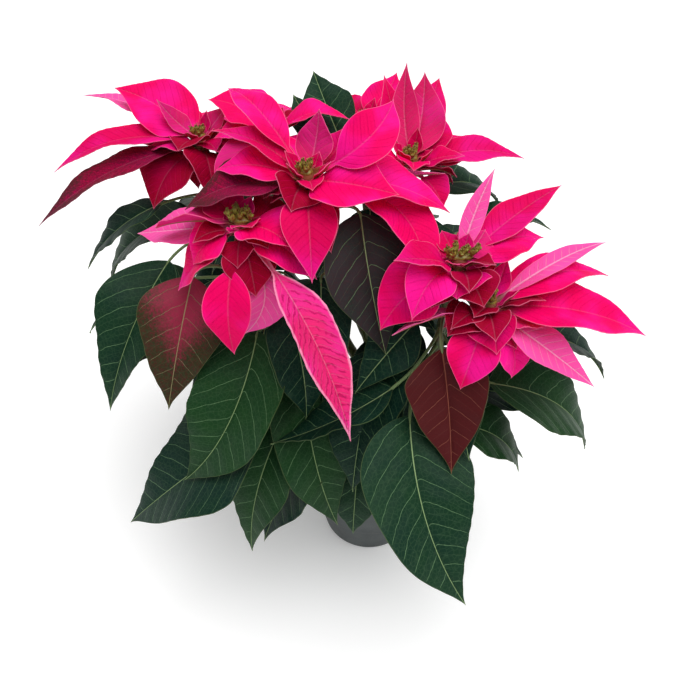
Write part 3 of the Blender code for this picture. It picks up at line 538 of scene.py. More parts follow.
def station(blade: Blade, share: float, row: float | None) -> Station:
    """Line across a blade.

    Args:
        blade: The blade.
        share: Share of the whole length, with the stalk.
        row: Share of the flat part's length, or None on the stalk.

    Returns:
        The line, with its axes turned by the blade's roll and twist.
    """
    place, along, left = blade.midrib(share)
    turn = math.radians(blade.roll + blade.twist * share) * min(1.0, share * 4.0)
    side = (left - along * left.dot(along)).normalized()
    face = along.cross(side)
    across = side * math.cos(turn) + face * math.sin(turn)
    normal = face * math.cos(turn) - side * math.sin(turn)
    wide = STALK_HALF_WIDTH if row is None else blade.half_width(row)
    swell = 0.0 if row is None else math.sin(math.pi * row) ** 0.5
    slope = math.radians(blade.form.fold + blade.fold) * (0.4 + 0.6 * swell)
    return Station(place, across, normal, wide, swell, slope, row or 0.0)


def station_at(blade: Blade, share: float) -> Station:
    """Line across a blade at a share of its whole length, on its stalk or on its flat part."""
    stalk = blade.stalk / blade.chord
    return station(blade, share, (share - stalk) / (1.0 - stalk) if share >= stalk else None)


Solid = tuple[list[Vector], list[tuple[int, ...]]]


class Guard:
    """Coarse closed bodies that stand for blades and stems in the plan. They are tested and never shown."""

    @staticmethod
    def grid(blade: Blade, rows: tuple[float, ...]) -> tuple[list[list[Vector]], Vector]:
        """Points of a blade's middle surface, row by row from the base, and its tip."""
        stalk = blade.stalk / blade.chord
        steps = [(stalk + (1.0 - stalk) * row, row) for row in rows]
        if stalk and rows[0] == 0.0:
            steps = [(0.0, None)] + (steps if blade.stalk > LONG_STALK else steps[1:])
        lines = [station(blade, share, row) for share, row in steps]
        return [[line.point(blade, column) for column in HALVES] for line in lines], blade.midrib(1.0)[0]

    @staticmethod
    def normals(grid: list[list[Vector]], tip: Vector) -> list[list[Vector]]:
        """A normal for each point of a blade's grid, from its neighbours."""
        found = []
        last = len(grid) - 1
        for i, line in enumerate(grid):
            ahead = grid[i + 1] if i < last else [tip] * len(line)
            behind = grid[i - 1] if i > 0 else line
            row = []
            for j in range(len(line)):
                along = ahead[j] - behind[j]
                across = line[min(j + 1, len(line) - 1)] - line[max(j - 1, 0)]
                row.append(along.cross(across).normalized() * -1.0)
            found.append(row)
        return found

    @classmethod
    def blade(cls, blade: Blade, rows: tuple[float, ...], thickness: float) -> Solid:
        """Corners and triangles of a blade's test body.

        Args:
            blade: The blade.
            rows: Stations along its flat part.
            thickness: Thickness in millimetres.

        Returns:
            The corners in millimetres, and the triangles.
        """
        grid, tip = cls.grid(blade, rows)
        normals = cls.normals(grid, tip)
        wide = len(HALVES)
        corners = []
        for offset in (0.5 * thickness, -0.5 * thickness):
            for line, row in zip(grid, normals):
                corners += [point + normal * offset for point, normal in zip(line, row)]
            corners.append(tip + normals[-1][wide // 2] * offset)
        under = len(corners) // 2
        count = len(grid)
        peak = count * wide
        faces = []
        for i, j in itertools.product(range(count - 1), range(wide - 1)):
            a = i * wide + j
            b, c, d = a + 1, a + wide + 1, a + wide
            pair = ((a, b, c), (a, c, d)) if j < wide // 2 else ((a, b, d), (b, c, d))
            for one, two, three in pair:
                faces.append((one, three, two))
                faces.append((one + under, two + under, three + under))
        end = (count - 1) * wide
        for j in range(wide - 1):
            faces.append((end + j, peak, end + j + 1))
            faces.append((end + j + under, end + j + 1 + under, peak + under))
        rim = [i * wide for i in range(count)] + [peak]
        rim += [i * wide + wide - 1 for i in reversed(range(count))]
        rim += list(range(wide - 2, 0, -1))
        for one, two in zip(rim, rim[1:] + rim[:1]):
            faces.append((one, one + under, two + under))
            faces.append((one, two + under, two))
        return corners, faces

    @staticmethod
    def tube(points: list[Vector], radii: list[float], sides: int) -> Solid:
        """Corners and triangles of a round tube's test body through points."""
        corners, faces = [], []
        for point, side, other, radius in rings(points, radii):
            for k in range(sides):
                angle = FULL_TURN * k / sides
                corners.append(point + (side * math.cos(angle) + other * math.sin(angle)) * radius)
        for i, k in itertools.product(range(len(points) - 1), range(sides)):
            a = i * sides + k
            b = i * sides + (k + 1) % sides
            faces += [(a, b, b + sides), (a, b + sides, a + sides)]
        last = (len(points) - 1) * sides
        for k in range(1, sides - 1):
            faces += [(0, k + 1, k), (last, last + k, last + k + 1)]
        return corners, faces

    @classmethod
    def stem(cls, shoot: Shoot) -> Solid:
        """Test body of a shoot's stem."""
        controls = shoot.stem_controls
        points = [bezier(controls, i / (STEM_RINGS - 1)) for i in range(STEM_RINGS)]
        points.insert(1, points[0] + shoot.fork_direction * STEM_SQUARE_START)
        points[-2] = points[-1] - UP * STEM_SQUARE_END
        taper = (STEM_TOP_RADIUS - STEM_RADIUS) / STEM_RINGS
        return cls.tube(points, [STEM_RADIUS + taper * i for i in range(len(points))], STEM_SIDES)

    @classmethod
    def petiole(cls, shoot: Shoot, leaf: Leaf, blade: Blade) -> Solid:
        """Test body of the stalk that joins a leaf's blade to the stem."""
        points = [petiole_point(shoot, leaf, blade, share) for share in (0.0, 0.5, 1.0)]
        return cls.tube(points, [PETIOLE_RADIUS] * len(points), PETIOLE_SIDES)

    @classmethod
    def cluster(cls, shoot: Shoot) -> list[Solid]:
        """Test bodies of the plate and buds at the centre of a bloom."""
        wide, deep = shoot.cluster
        centre = Vector(shoot.top) + UP * GAP
        corners = []
        for height, share in ((0.0, 0.6), (BUD_PLATE, 1.05)):
            for k in range(PLATE_SIDES):
                angle = FULL_TURN * (k + 0.5) / PLATE_SIDES
                corners.append(centre + Vector((
                    wide * share * math.cos(angle), deep * share * math.sin(angle), height)))
        faces = []
        for k in range(PLATE_SIDES):
            n = (k + 1) % PLATE_SIDES
            faces += [(k, n, n + PLATE_SIDES), (k, n + PLATE_SIDES, k + PLATE_SIDES)]
        pieces = [(corners, faces)]
        for bud in planned_buds(shoot):
            stations = ((0.0, 0.55), (0.55, 1.0), (1.0, 0.5))
            points = [bud.foot + bud.along * (bud.height * share) for share, _ in stations]
            pieces.append(cls.tube(points, [BUD_RADIUS * size for _, size in stations], BUD_SIDES))
        return pieces


def rings(points: list[Vector], radii: list[float]) -> list[tuple[Vector, Vector, Vector, float]]:
    """Centre, two cross axes and radius at each point of a tube, without twist from one to the next."""
    found = []
    side = None
    for i, (point, radius) in enumerate(zip(points, radii)):
        ahead = points[min(i + 1, len(points) - 1)]
        behind = points[max(i - 1, 0)]
        along = (ahead - behind).normalized()
        if side is None:
            side = along.orthogonal()
        side = (side - along * side.dot(along)).normalized()
        found.append((point, side, along.cross(side), radius))
    return found


def petiole_point(shoot: Shoot, leaf: Leaf, blade: Blade, share: float) -> Vector:
    """Point on a leaf's stalk, from the stem at 0 to the blade's base at 1."""
    begin = bezier(shoot.stem_controls, leaf.at)
    finish, along, _ = blade.midrib(0.03)
    reach = (finish - begin).length
    return bezier((begin, finish - along * 0.45 * reach, finish), share)


@dataclass(frozen=True)
class Bud:
    """Place of one small true flower: its foot, its direction and its height."""

    foot: Vector
    along: Vector
    height: float


def planned_buds(shoot: Shoot) -> list[Bud]:
    """Buds of a shoot's cluster, spread by the golden angle."""
    wide, deep = shoot.cluster
    count = round(5 + 0.6 * (wide - 6.0))
    draw = random.Random(f"buds {shoot.number}")
    centre = Vector(shoot.top) + UP * GAP
    buds = []
    for k in range(count):
        spread = math.sqrt((k + 0.3) / count)
        outward = bearing(GOLDEN_ANGLE * k)
        foot = centre + UP * BUD_FOOT + Vector((
            (wide - 1.4 * BUD_RADIUS) * spread * outward.x,
            (deep - 1.4 * BUD_RADIUS) * spread * outward.y,
            0.0))
        along = (UP + outward * (0.3 * spread)).normalized()
        buds.append(Bud(foot, along, BUD_LENGTH * draw.uniform(0.85, 1.15)))
    return buds


class Room:
    """What is already placed, so that the next blade can be bent clear of it.

    TRIES are the shares of its width that a blade is tried at, each with whether it heeds its own node, and
    OWN_RISE is how far its tip may be raised or lowered for that, in millimetres.
    """

    TRIES = ((1.0, True), (1.0, False), (0.84, False), (0.68, False))
    OWN_RISE = 24

    def __init__(self) -> None:
        """Start with nothing placed, and sort the small bends that a blade may take, the mildest first."""
        self.taken = []
        rises = (0, 5, -5, 10, -10, 16, -16, 24, -24, 34, -34)
        azimuths = (0, 6, -6, 12, -12, 20, -20)
        rolls = (0, 12, -12, 25, -25)
        bows = (0.0, 0.08, -0.08)
        self.bends = list(itertools.product(rises, azimuths, rolls, bows))
        self.bends.sort(key=lambda bend: (
            abs(bend[0]) / 6.0 + abs(bend[1]) / 6.0 + abs(bend[2]) / 14.0 + abs(bend[3]) / 0.06))

    @staticmethod
    def box(corners: list[Vector]) -> tuple[list[float], list[float]]:
        """Lowest and highest corner of a set of points."""
        low = [min(point[axis] for point in corners) for axis in range(3)]
        high = [max(point[axis] for point in corners) for axis in range(3)]
        return low, high

    def add(self, node: str, solid: Solid, within: bool = False) -> None:
        """Claim the room of a solid, against other nodes or, with within, against its own node."""
        self.taken.append((node, within, self.box(solid[0]), BVHTree.FromPolygons(*solid)))

    def is_clear(self, node: str, solids: list[Solid], within: bool = False) -> bool:
        """Whether solids cross nothing of other nodes or, with within, nothing of their own node."""
        for corners, faces in solids:
            low, high = self.box(corners)
            tree = None
            for other, inner, (other_low, other_high), other_tree in self.taken:
                if inner != within or (other == node) != within:
                    continue
                if any(low[k] > other_high[k] or high[k] < other_low[k] for k in range(3)):
                    continue
                tree = tree or BVHTree.FromPolygons(corners, faces)
                if tree.overlap(other_tree):
                    return False
        return True

    def settle(self, node: str, blade: Blade, skip: int, extra=None) -> Blade | None:
        """Bend a blade as little as it takes to be clear, and claim its room.

        Args:
            node: Name of the bloom or leafy stem that the blade grows on.
            blade: The blade as its row gives it.
            skip: How many rows from the base may cross the blade's own node.
            extra: Function of the bent blade that gives one more test body, such as its stalk.

        Returns:
            The bent blade, or None where no bend is clear.
        """
        for size, heed_own in self.TRIES:
            for rise, azimuth, roll, bow in self.bends:
                if heed_own and abs(rise) > self.OWN_RISE:
                    continue
                bent = replace(
                    blade, rise=blade.rise + rise, azimuth=blade.azimuth + azimuth, roll=blade.roll + roll,
                    bow=blade.bow + bow, width=blade.width * size)
                own = Guard.blade(bent, bent.form.rows[skip:], OWN_GUARD_THICKNESS)
                if heed_own and not self.is_clear(node, [own], within=True):
                    continue
                guards = [Guard.blade(bent, bent.form.rows, GUARD_THICKNESS)]
                if extra:
                    guards.append(extra(bent))
                if self.is_clear(node, guards):
                    for guard in guards:
                        self.add(node, guard)
                    self.add(node, own, within=True)
                    return bent
        return None


class Plan:
    """Every blade of the plant, bent clear of the others in the order of CLAIM_ORDER, late ones last."""

    def __init__(self) -> None:
        """Place the stems and buds, then grow bracts by shoot, and leaf and blade pairs by shoot."""
        self.room = Room()
        self.bracts: dict[int, list[Blade]] = {shoot.number: [] for shoot in SHOOTS}
        self.leaves: dict[int, list[tuple[Leaf, Blade]]] = {shoot.number: [] for shoot in SHOOTS}
        for shoot in SHOOTS:
            stem = Guard.stem(shoot)
            self.room.add(f"shoot_{shoot.number}", stem)
            self.room.add(f"shoot_{shoot.number}", stem, within=True)
            for piece in Guard.cluster(shoot):
                self.room.add(f"buds_{shoot.number}", piece)
        for kind, number in CLAIM_ORDER:
            grow = self.grow_bloom if kind == "bloom" else self.grow_leaves
            grow(SHOOTS[number - 1])
        for shoot in SHOOTS:
            self.fill_heart(shoot)
            self.fill_stem(shoot)

    def grow_bract(
            self, shoot: Shoot, index: int, row: tuple, rank: float, tint: Tint | None = None) -> None:
        """Grow one bract where it finds room; a tint takes the place of its own."""
        blade = self.room.settle(f"bloom_{shoot.number}", self.shaped_bract(shoot, index, row, rank), 1)
        if blade:
            self.bracts[shoot.number].append(replace(blade, tint=tint or blade.tint))

    def grow_leaf(self, shoot: Shoot, index: int, row: tuple, tint: Tint | None = None) -> None:
        """Grow one leaf with its stalk where it finds room; a tint takes the place of its own."""
        leaf, blade = self.shaped_leaf(shoot, index, row)
        blade = self.room.settle(
            f"shoot_{shoot.number}", blade, 0, lambda bent: Guard.petiole(shoot, leaf, bent))
        if blade:
            self.leaves[shoot.number].append((leaf, replace(blade, tint=tint or blade.tint)))

    def grow_bloom(self, shoot: Shoot) -> None:
        """Grow the bracts of one bloom, the steeper ones higher on the receptacle."""
        rows = shoot.bracts + self.spare_bracts(shoot)
        slopes = sorted(range(len(rows)), key=lambda index: -rows[index][2] / rows[index][1])
        for index, row in enumerate(rows):
            self.grow_bract(shoot, index, row, slopes.index(index) / (len(rows) - 1))

    def grow_leaves(self, shoot: Shoot) -> None:
        """Grow the leaves of one shoot."""
        for index, row in enumerate(shoot.leaves + self.spare_leaves(shoot)):
            self.grow_leaf(shoot, index, row)

    def fill_heart(self, shoot: Shoot) -> None:
        """Add a bloom's late heart bracts: low ones crimson for painted shade, and every third one upright
        and rose.
        """
        draw = random.Random(f"late bracts {shoot.number}")
        for index in range(LATE_BRACTS):
            azimuth = 360.0 * index / LATE_BRACTS + draw.uniform(-12, 12)
            if index % 3 == 2:
                ranges, rank, tint = LATE_UPRIGHT_BRACT, 0.3, Tint.ROSE
            else:
                # The low heart bracts are crimson as painted shade
                ranges, rank, tint = LATE_LOW_BRACT, 0.9, Tint.SHADE_CRIMSON
            self.grow_bract(shoot, LATE_FIRST + index, ranges.row(draw, azimuth), rank, tint)
        LOG.info("bloom_%d: %d bracts", shoot.number, len(self.bracts[shoot.number]))

    def fill_stem(self, shoot: Shoot) -> None:
        """Add a shoot's late leaves, which hang inside the plant."""
        draw = random.Random(f"late leaves {shoot.number}")
        for index in range(LATE_LEAVES):
            at = draw.uniform(0.35, 0.85)
            azimuth = 270.0 + 360.0 * index / LATE_LEAVES + draw.uniform(-40, 40)
            base = bezier(shoot.stem_controls, at) + heading(azimuth) * draw.uniform(16, 24)
            row = (at, tuple(base), *LATE_LEAF.row(draw, azimuth))
            self.grow_leaf(shoot, LATE_FIRST + index, row, Tint.DEEP)
        LOG.info("shoot_%d: %d leaves", shoot.number, len(self.leaves[shoot.number]))

    @staticmethod
    def spare_bracts(shoot: Shoot) -> tuple[tuple, ...]:
        """Rows for the bracts on the sides that no row describes, each in the middle of the widest gap."""
        draw = random.Random(f"spare bracts {shoot.number}")
        taken = [values[0] % 360.0 for values in shoot.bracts]
        rows = []
        for _ in range(shoot.spare_bracts):
            ring = sorted(taken)
            gaps = [((b - a) % 360.0 or 360.0, a) for a, b in zip(ring, ring[1:] + ring[:1])]
            size, begin = max(gaps)
            azimuth = (begin + 0.5 * size) % 360.0
            taken.append(azimuth)
            rows.append(SPARE_BRACT.row(draw, azimuth))
        return tuple(rows)

    @staticmethod
    def shaped_bract(shoot: Shoot, index: int, values: tuple, rank: float) -> Blade:
        """A bract from its row of values, with small seeded draws for what the row leaves out.

        Args:
            shoot: The shoot that bears it.
            index: Its row's place in the bloom.
            values: Its row.
            rank: From 0 for the steepest bract, at the top of the receptacle, to 1 for the lowest.

        Returns:
            The blade before it is bent clear of the others.
        """
        draw = random.Random(f"bract {shoot.number} {index}")
        azimuth, run, rise, width, bow, roll = values[:6]
        stalk = max(values[6] if len(values) > 6 else 0, BRACT_STALK + BRACT_STALK_SPREAD * rank)
        lean = values[7] if len(values) > 7 else draw.uniform(-0.05, 0.05)
        depth = BRACT_TOP + (HUB_HEIGHT - BRACT_MARGIN) * rank
        start = Vector(shoot.top) + heading(azimuth) * BRACT_START_RADIUS - UP * depth
        blade = Blade(
            azimuth, run - BRACT_START_RADIUS, rise + depth, width, bow,
            roll=roll + draw.uniform(-5, 5),
            stalk=stalk,
            twist=draw.uniform(-14, 14),
            lean=lean,
            fold=draw.uniform(-4, 6),
            phase=draw.uniform(0, PHASES),
            form=BROAD if width >= BROAD_WIDTH else SMALL if width < SMALL_WIDTH else BRACT,
            start=tuple(start))
        plain = draw.choices((Tint.BRIGHT, Tint.ROSE, Tint.VEINED), (6, 3, 1))[0]
        return replace(blade, tint=BRACT_TINTS.get((shoot.number, index), plain))

    @staticmethod
    def spare_leaves(shoot: Shoot) -> tuple[tuple, ...]:
        """Rows for leaves on the side away from the plant's axis, in a spiral down the stem."""
        draw = random.Random(f"spare leaves {shoot.number}")
        outward = math.degrees(math.atan2(shoot.top[1], shoot.top[0]))
        rows = []
        for k in range(shoot.spare_leaves):
            at = 0.74 - 0.17 * k
            azimuth = outward + SPARE_TURNS[k] + draw.uniform(-8, 8)
            node = bezier(shoot.stem_controls, at)
            base = node + heading(azimuth) * draw.uniform(26, 34) + UP * draw.uniform(-4, 6)
            rows.append((at, tuple(base), *SPARE_LEAF.row(draw, azimuth)))
        return tuple(rows)

    @staticmethod
    def shaped_leaf(shoot: Shoot, index: int, values: tuple) -> tuple[Leaf, Blade]:
        """A leaf of a shoot from its row, as the pair of its row and its blade."""
        draw = random.Random(f"leaf {shoot.number} {index}")
        leaf = Leaf(*values)
        blade = Blade(
            leaf.azimuth, leaf.run, leaf.rise, leaf.width, leaf.bow,
            roll=leaf.roll + draw.uniform(-6, 6),
            twist=draw.uniform(-12, 12),
            lean=leaf.lean + draw.uniform(-0.05, 0.05),
            fold=leaf.fold + draw.uniform(-4, 4),
            phase=draw.uniform(0, PHASES),
            form=LEAF if leaf.width >= SLIM_WIDTH else SLIM,
            start=leaf.base)
        plain = draw.choices((Tint.GREEN, Tint.DEEP, Tint.FRESH), (4, 3, 1))[0]
        return leaf, replace(blade, tint=LEAF_TINTS.get((shoot.number, index), plain))


def linear(hex_colour: str) -> tuple[float, float, float, float]:
    """Linear colour, with alpha, of an sRGB hex value."""
    values = [int(hex_colour[i:i + 2], 16) / 255.0 for i in (1, 3, 5)]
    return (*[v / 12.92 if v <= 0.04045 else ((v + 0.055) / 1.055) ** 2.4 for v in values], 1.0)


def paint(colour):
    """What a colour input takes: a socket or a linear colour as it is, and a hex value made linear."""
    return linear(colour) if isinstance(colour, str) else colour


def per_metre(millimetres: float) -> float:
    """Scale of a procedural pattern whose features are this many millimetres across."""
    return 1.0 / (millimetres * MM)


class Graph:
    """A material in the making: its node tree and its Principled shader."""

    def __init__(self, name: str, roughness: float, ior: float, **constants: float) -> None:
        """Start a material; constants are shader sockets by name, with _ for a space."""
        self.material = bpy.data.materials.new(name)
        self.material.use_nodes = True
        self.tree = self.material.node_tree
        self.shader = self.tree.nodes["Principled BSDF"]
        self.shader.inputs["Roughness"].default_value = roughness
        self.shader.inputs["IOR"].default_value = ior
        for socket, value in constants.items():
            self.shader.inputs[socket.replace("_", " ")].default_value = value

    def add(self, kind: str, inputs: dict | None = None, **settings) -> bpy.types.Node:
        """Add a node.

        Args:
            kind: The node's type.
            inputs: Values or output sockets by the input's name or number.
            settings: The node's own properties.

        Returns:
            The new node.
        """
        node = self.tree.nodes.new(kind)
        for key, value in settings.items():
            setattr(node, key, value)
        for key, value in (inputs or {}).items():
            self.feed(node, key, value)
        return node

    def feed(self, node: bpy.types.Node, key: str | int, value) -> None:
        """Give a node's input a value, or link a socket to it."""
        if isinstance(value, Socket):
            self.tree.links.new(value, node.inputs[key])
        else:
            node.inputs[key].default_value = value

    def sum(self, *terms: tuple, base: float = 0.0) -> Socket:
        """Weighted sum of sockets, given as pairs of socket and weight, on top of a base value."""
        total = base
        for socket, weight in terms:
            total = self.add(
                "ShaderNodeMath", {0: socket, 1: weight, 2: total}, operation="MULTIPLY_ADD").outputs[0]
        return total

    def times(self, first, second) -> Socket:
        """Product of two sockets or numbers."""
        return self.add("ShaderNodeMath", {0: first, 1: second}, operation="MULTIPLY").outputs[0]

    def ease(self, value, low: float, high: float, start: float = 0.0, end: float = 1.0):
        """Smooth step of a value, from start at low to end at high."""
        return self.add(
            "ShaderNodeMapRange", {0: value, 1: low, 2: high, 3: start, 4: end},
            interpolation_type="SMOOTHSTEP").outputs[0]

    def fade(self, value, low: float, high: float) -> Socket:
        """Smooth step down of a value, from 1 at low to 0 at high."""
        return self.ease(value, low, high, 1.0, 0.0)

    def coats(self, first, *layers: tuple) -> Socket:
        """Colour under coats of paint, each given as its factor and its colour."""
        colour = paint(first)
        for factor, coat in layers:
            colour = self.add(
                "ShaderNodeMix", {0: factor, 6: colour, 7: paint(coat)}, data_type="RGBA").outputs[2]
        return colour

    def place(self) -> Socket:
        """Object coordinates."""
        return self.add("ShaderNodeTexCoord").outputs["Object"]

    def layer(self, name: str):
        """The three values that a blade's or a stem's layer holds at each point."""
        read = self.add("ShaderNodeAttribute", attribute_name=name)
        return self.add("ShaderNodeSeparateXYZ", {0: read.outputs["Vector"]}).outputs

    def grain(self, size: float, detail: float = 3.0, roughness: float = 0.55, place=None):
        """Noise whose blots are size millimetres across, on Object coordinates unless a place is given."""
        return self.add("ShaderNodeTexNoise", {
            "Vector": place or self.place(), "Scale": per_metre(size), "Detail": detail,
            "Roughness": roughness}).outputs[0]

    def cells(self, size: float) -> Socket:
        """Distance to the nearest cell wall, on Object coordinates, of cells size millimetres across."""
        return self.add(
            "ShaderNodeTexVoronoi", {"Vector": self.place(), "Scale": per_metre(size)},
            feature="DISTANCE_TO_EDGE").outputs[0]

    def wear(self, colour, height, depth: float, roughness=None) -> bpy.types.Material:
        """Connect the colour, a relief of depth millimetres, and the roughness where it varies.

        Args:
            colour: Colour socket or hex value.
            height: Height socket, 0 to 1.
            depth: Real height of the relief in millimetres.
            roughness: Roughness socket, or None where it is the same all over.

        Returns:
            The finished material.
        """
        bump = self.add("ShaderNodeBump", {"Strength": 1.0, "Distance": depth * MM, "Height": height})
        self.feed(self.shader, "Base Color", paint(colour))
        self.feed(self.shader, "Normal", bump.outputs[0])
        if roughness is not None:
            self.feed(self.shader, "Roughness", roughness)
        return self.material


@dataclass(frozen=True)
class BladeFinish:
    """What all faces of leaves and bracts share: vein lines drawn from the layers of the blade itself.

    Layer vein holds the side veins' phase, the distance from the midrib and the share of the length. Layer
    skin holds the distance from the margin, the share of the half width, and how deeply the blade is
    quilted. Layer tint holds tone, glow and change.

    side_vein is how wide a side vein looks, as a share of the way from one to the next. midrib is the half
    width of the midrib, and net the size of the cells between the finest veins, in millimetres.
    """

    name: str
    roughness: float
    side_vein: float
    midrib: float
    net: float

    @staticmethod
    def from_vein(graph: Graph, phase) -> Socket:
        """How far a phase is from the nearest side vein, 0 to 0.5."""
        return graph.add("ShaderNodeMath", {0: phase, 1: 0.5}, operation="PINGPONG").outputs[0]

    def creases(self, graph: Graph, phase, crumpled) -> Socket:
        """Mask of the crooked, broken creases of a crumpled blade, which follow its side veins."""
        crooked = graph.sum((graph.grain(7.0, 3.0), 1.5), base=phase)
        broken = graph.ease(graph.grain(6.0, 2.0), 0.32, 0.56)
        line = graph.fade(self.from_vein(graph, crooked), 0.02, 0.20)
        return graph.times(graph.times(line, broken), crumpled)

    def masks(self, graph: Graph) -> SimpleNamespace:
        """Masks and values of the blade's layers."""
        straight, from_rib, share = graph.layer("vein")
        from_margin, reach, quilt = graph.layer("skin")
        tone, glow, change = graph.layer("tint")
        phase = graph.sum((graph.grain(12.0, 2.0), 0.26), base=straight)
        near = self.from_vein(graph, phase)
        between = graph.sum((near, -1.0), base=0.5)
        inside = graph.ease(from_margin, 0.3, 4.0)
        across = graph.add("ShaderNodeMath", {0: from_rib}, operation="ABSOLUTE").outputs[0]
        crumpled = graph.ease(quilt, 1.8, 6.0)
        narrow = graph.sum((share, 0.8), base=0.6)
        return SimpleNamespace(
            share=share, reach=reach, tone=tone, glow=glow, change=change,
            shaded_crease=self.creases(graph, phase, crumpled),
            rolled=graph.times(graph.fade(from_margin, 0.4, 2.2), crumpled),
            side=graph.times(graph.fade(near, 0.3 * self.side_vein, self.side_vein), inside),
            fine=graph.times(graph.fade(between, 0.0, 0.8 * self.side_vein), inside),
            rib=graph.fade(graph.times(across, narrow), 0.4 * self.midrib, self.midrib),
            # Pale line along the margin: a painted rim highlight
            margin=graph.fade(from_margin, 0.15, 0.50),
            net=graph.fade(graph.cells(self.net), 0.0, 0.12))


@dataclass(frozen=True)
class BractFace(BladeFinish):
    """Upper side of a poinsettia bract: a thin waxy leaf full of red pigment.

    The eye sees a very saturated, soft pink with hardly any gloss, faint darker side veins and a thin pale
    margin, which is a painted rim highlight. The crimson of a bract that lies in shade is painted shade, and
    so is the dark pink in the creases of a crumpled one. A blade that shows its back is a pale lilac with
    lighter veins, and one that is still turning is maroon with a dark green point.
    """

    hot: str = "#EE0060"
    light: str = "#FA1490"
    # Deep crimson: partly the bract's own darker pink, partly painted shade on the bracts that lie in shade
    crimson_and_shade: str = "#980028"
    lilac: str = "#F558AC"
    vein: str = "#C00048"
    # Dark pink for the creases of a crumpled bract: painted shade
    shaded_crease: str = "#B00A50"
    pale_vein: str = "#FFB8D6"
    edge: str = "#FF84AC"
    turning: str = "#6E0E30"
    turned_net: str = "#480A22"
    green: str = "#20261A"
    stalk: str = "#7C6A2C"

    def make(self) -> bpy.types.Material:
        """Build the material."""
        graph = Graph(self.name, self.roughness, 1.4, Specular_IOR_Level=0.07)
        mask = self.masks(graph)
        cloud = graph.grain(26.0, 2.0)
        speck = graph.grain(2.6, 3.0)
        tone = graph.sum((mask.tone, 1.0), (cloud, 0.38), base=-0.18)
        vein_depth = graph.sum((mask.tone, 0.45), (mask.change, 0.4), base=0.09)
        dark_side = graph.times(mask.side, vein_depth)
        pale_side = graph.times(mask.side, graph.times(mask.glow, 0.35))
        mauve = graph.ease(graph.sum((mask.change, 1.5), (speck, 0.7), base=-0.8), 0.0, 0.5)
        tip = graph.sum(
            (mask.change, 0.8), (mask.share, 0.9), (mask.reach, 0.3), (speck, 0.8), base=-1.52)
        colour = graph.coats(
            self.hot,
            (graph.ease(graph.grain(34.0, 2.0), 0.42, 0.66), self.light),
            # Partly painted shade: a high tone darkens the pink to crimson on the bracts that lie in shade
            (tone, self.crimson_and_shade),
            (mask.glow, self.lilac),
            (graph.times(mauve, 0.68), self.turning),
            (dark_side, self.vein),
            # Painted shade: the creases of a crumpled bract are darkened as if shade lay in them
            (graph.times(mask.shaded_crease, 0.72), self.shaded_crease),
            (graph.times(mask.rolled, 0.6), self.pale_vein),
            (graph.times(mask.net, mask.change), self.turned_net),
            (graph.times(graph.ease(tip, 0.0, 0.3), mask.change), self.green),
            (pale_side, self.pale_vein),
            (graph.times(mask.rib, graph.sum((mask.glow, 0.6), base=0.06)), self.pale_vein),
            # Painted rim highlight along the bract's margin
            (graph.times(mask.margin, graph.sum((mask.change, -0.5), base=0.5)), self.edge),
            (graph.ease(mask.share, 0.03, 0.14, 0.8, 0.0), self.stalk),
        )
        height = graph.sum(
            (mask.side, -0.65), (mask.fine, -0.35), (mask.rib, -0.6), (mask.net, -0.28),
            (mask.shaded_crease, -1.0), (graph.grain(1.3, 2.0), 0.16), base=0.9)
        gloss = graph.sum((speck, 0.16), base=self.roughness - 0.08)
        return graph.wear(colour, height, 0.32, gloss)


@dataclass(frozen=True)
class BractBack(BladeFinish):
    """Underside of a bract: matt, paler and cooler, with raised veins of a deeper pink."""

    skin: str = "#EE4FA4"
    deep: str = "#B8104C"
    vein: str = "#D8146C"
    edge: str = "#FF90B4"

    def make(self) -> bpy.types.Material:
        """Build the material."""
        graph = Graph(self.name, self.roughness, 1.4)
        mask = self.masks(graph)
        cloud = graph.grain(20.0, 3.0)
        colour = graph.coats(
            self.skin,
            # Partly painted shade: a high tone deepens the underside of the bracts that lie in shade, with a
            # random cloud
            (graph.sum((mask.tone, 0.75), (cloud, 0.3), base=-0.12), self.deep),
            (graph.times(mask.side, 0.5), self.vein),
            # Painted rim highlight along the underside's margin
            (graph.times(mask.margin, 0.5), self.edge),
        )
        height = graph.sum((mask.side, 0.6), (mask.net, 0.25), (graph.grain(1.3, 2.0), 0.15))
        return graph.wear(colour, height, 0.3)


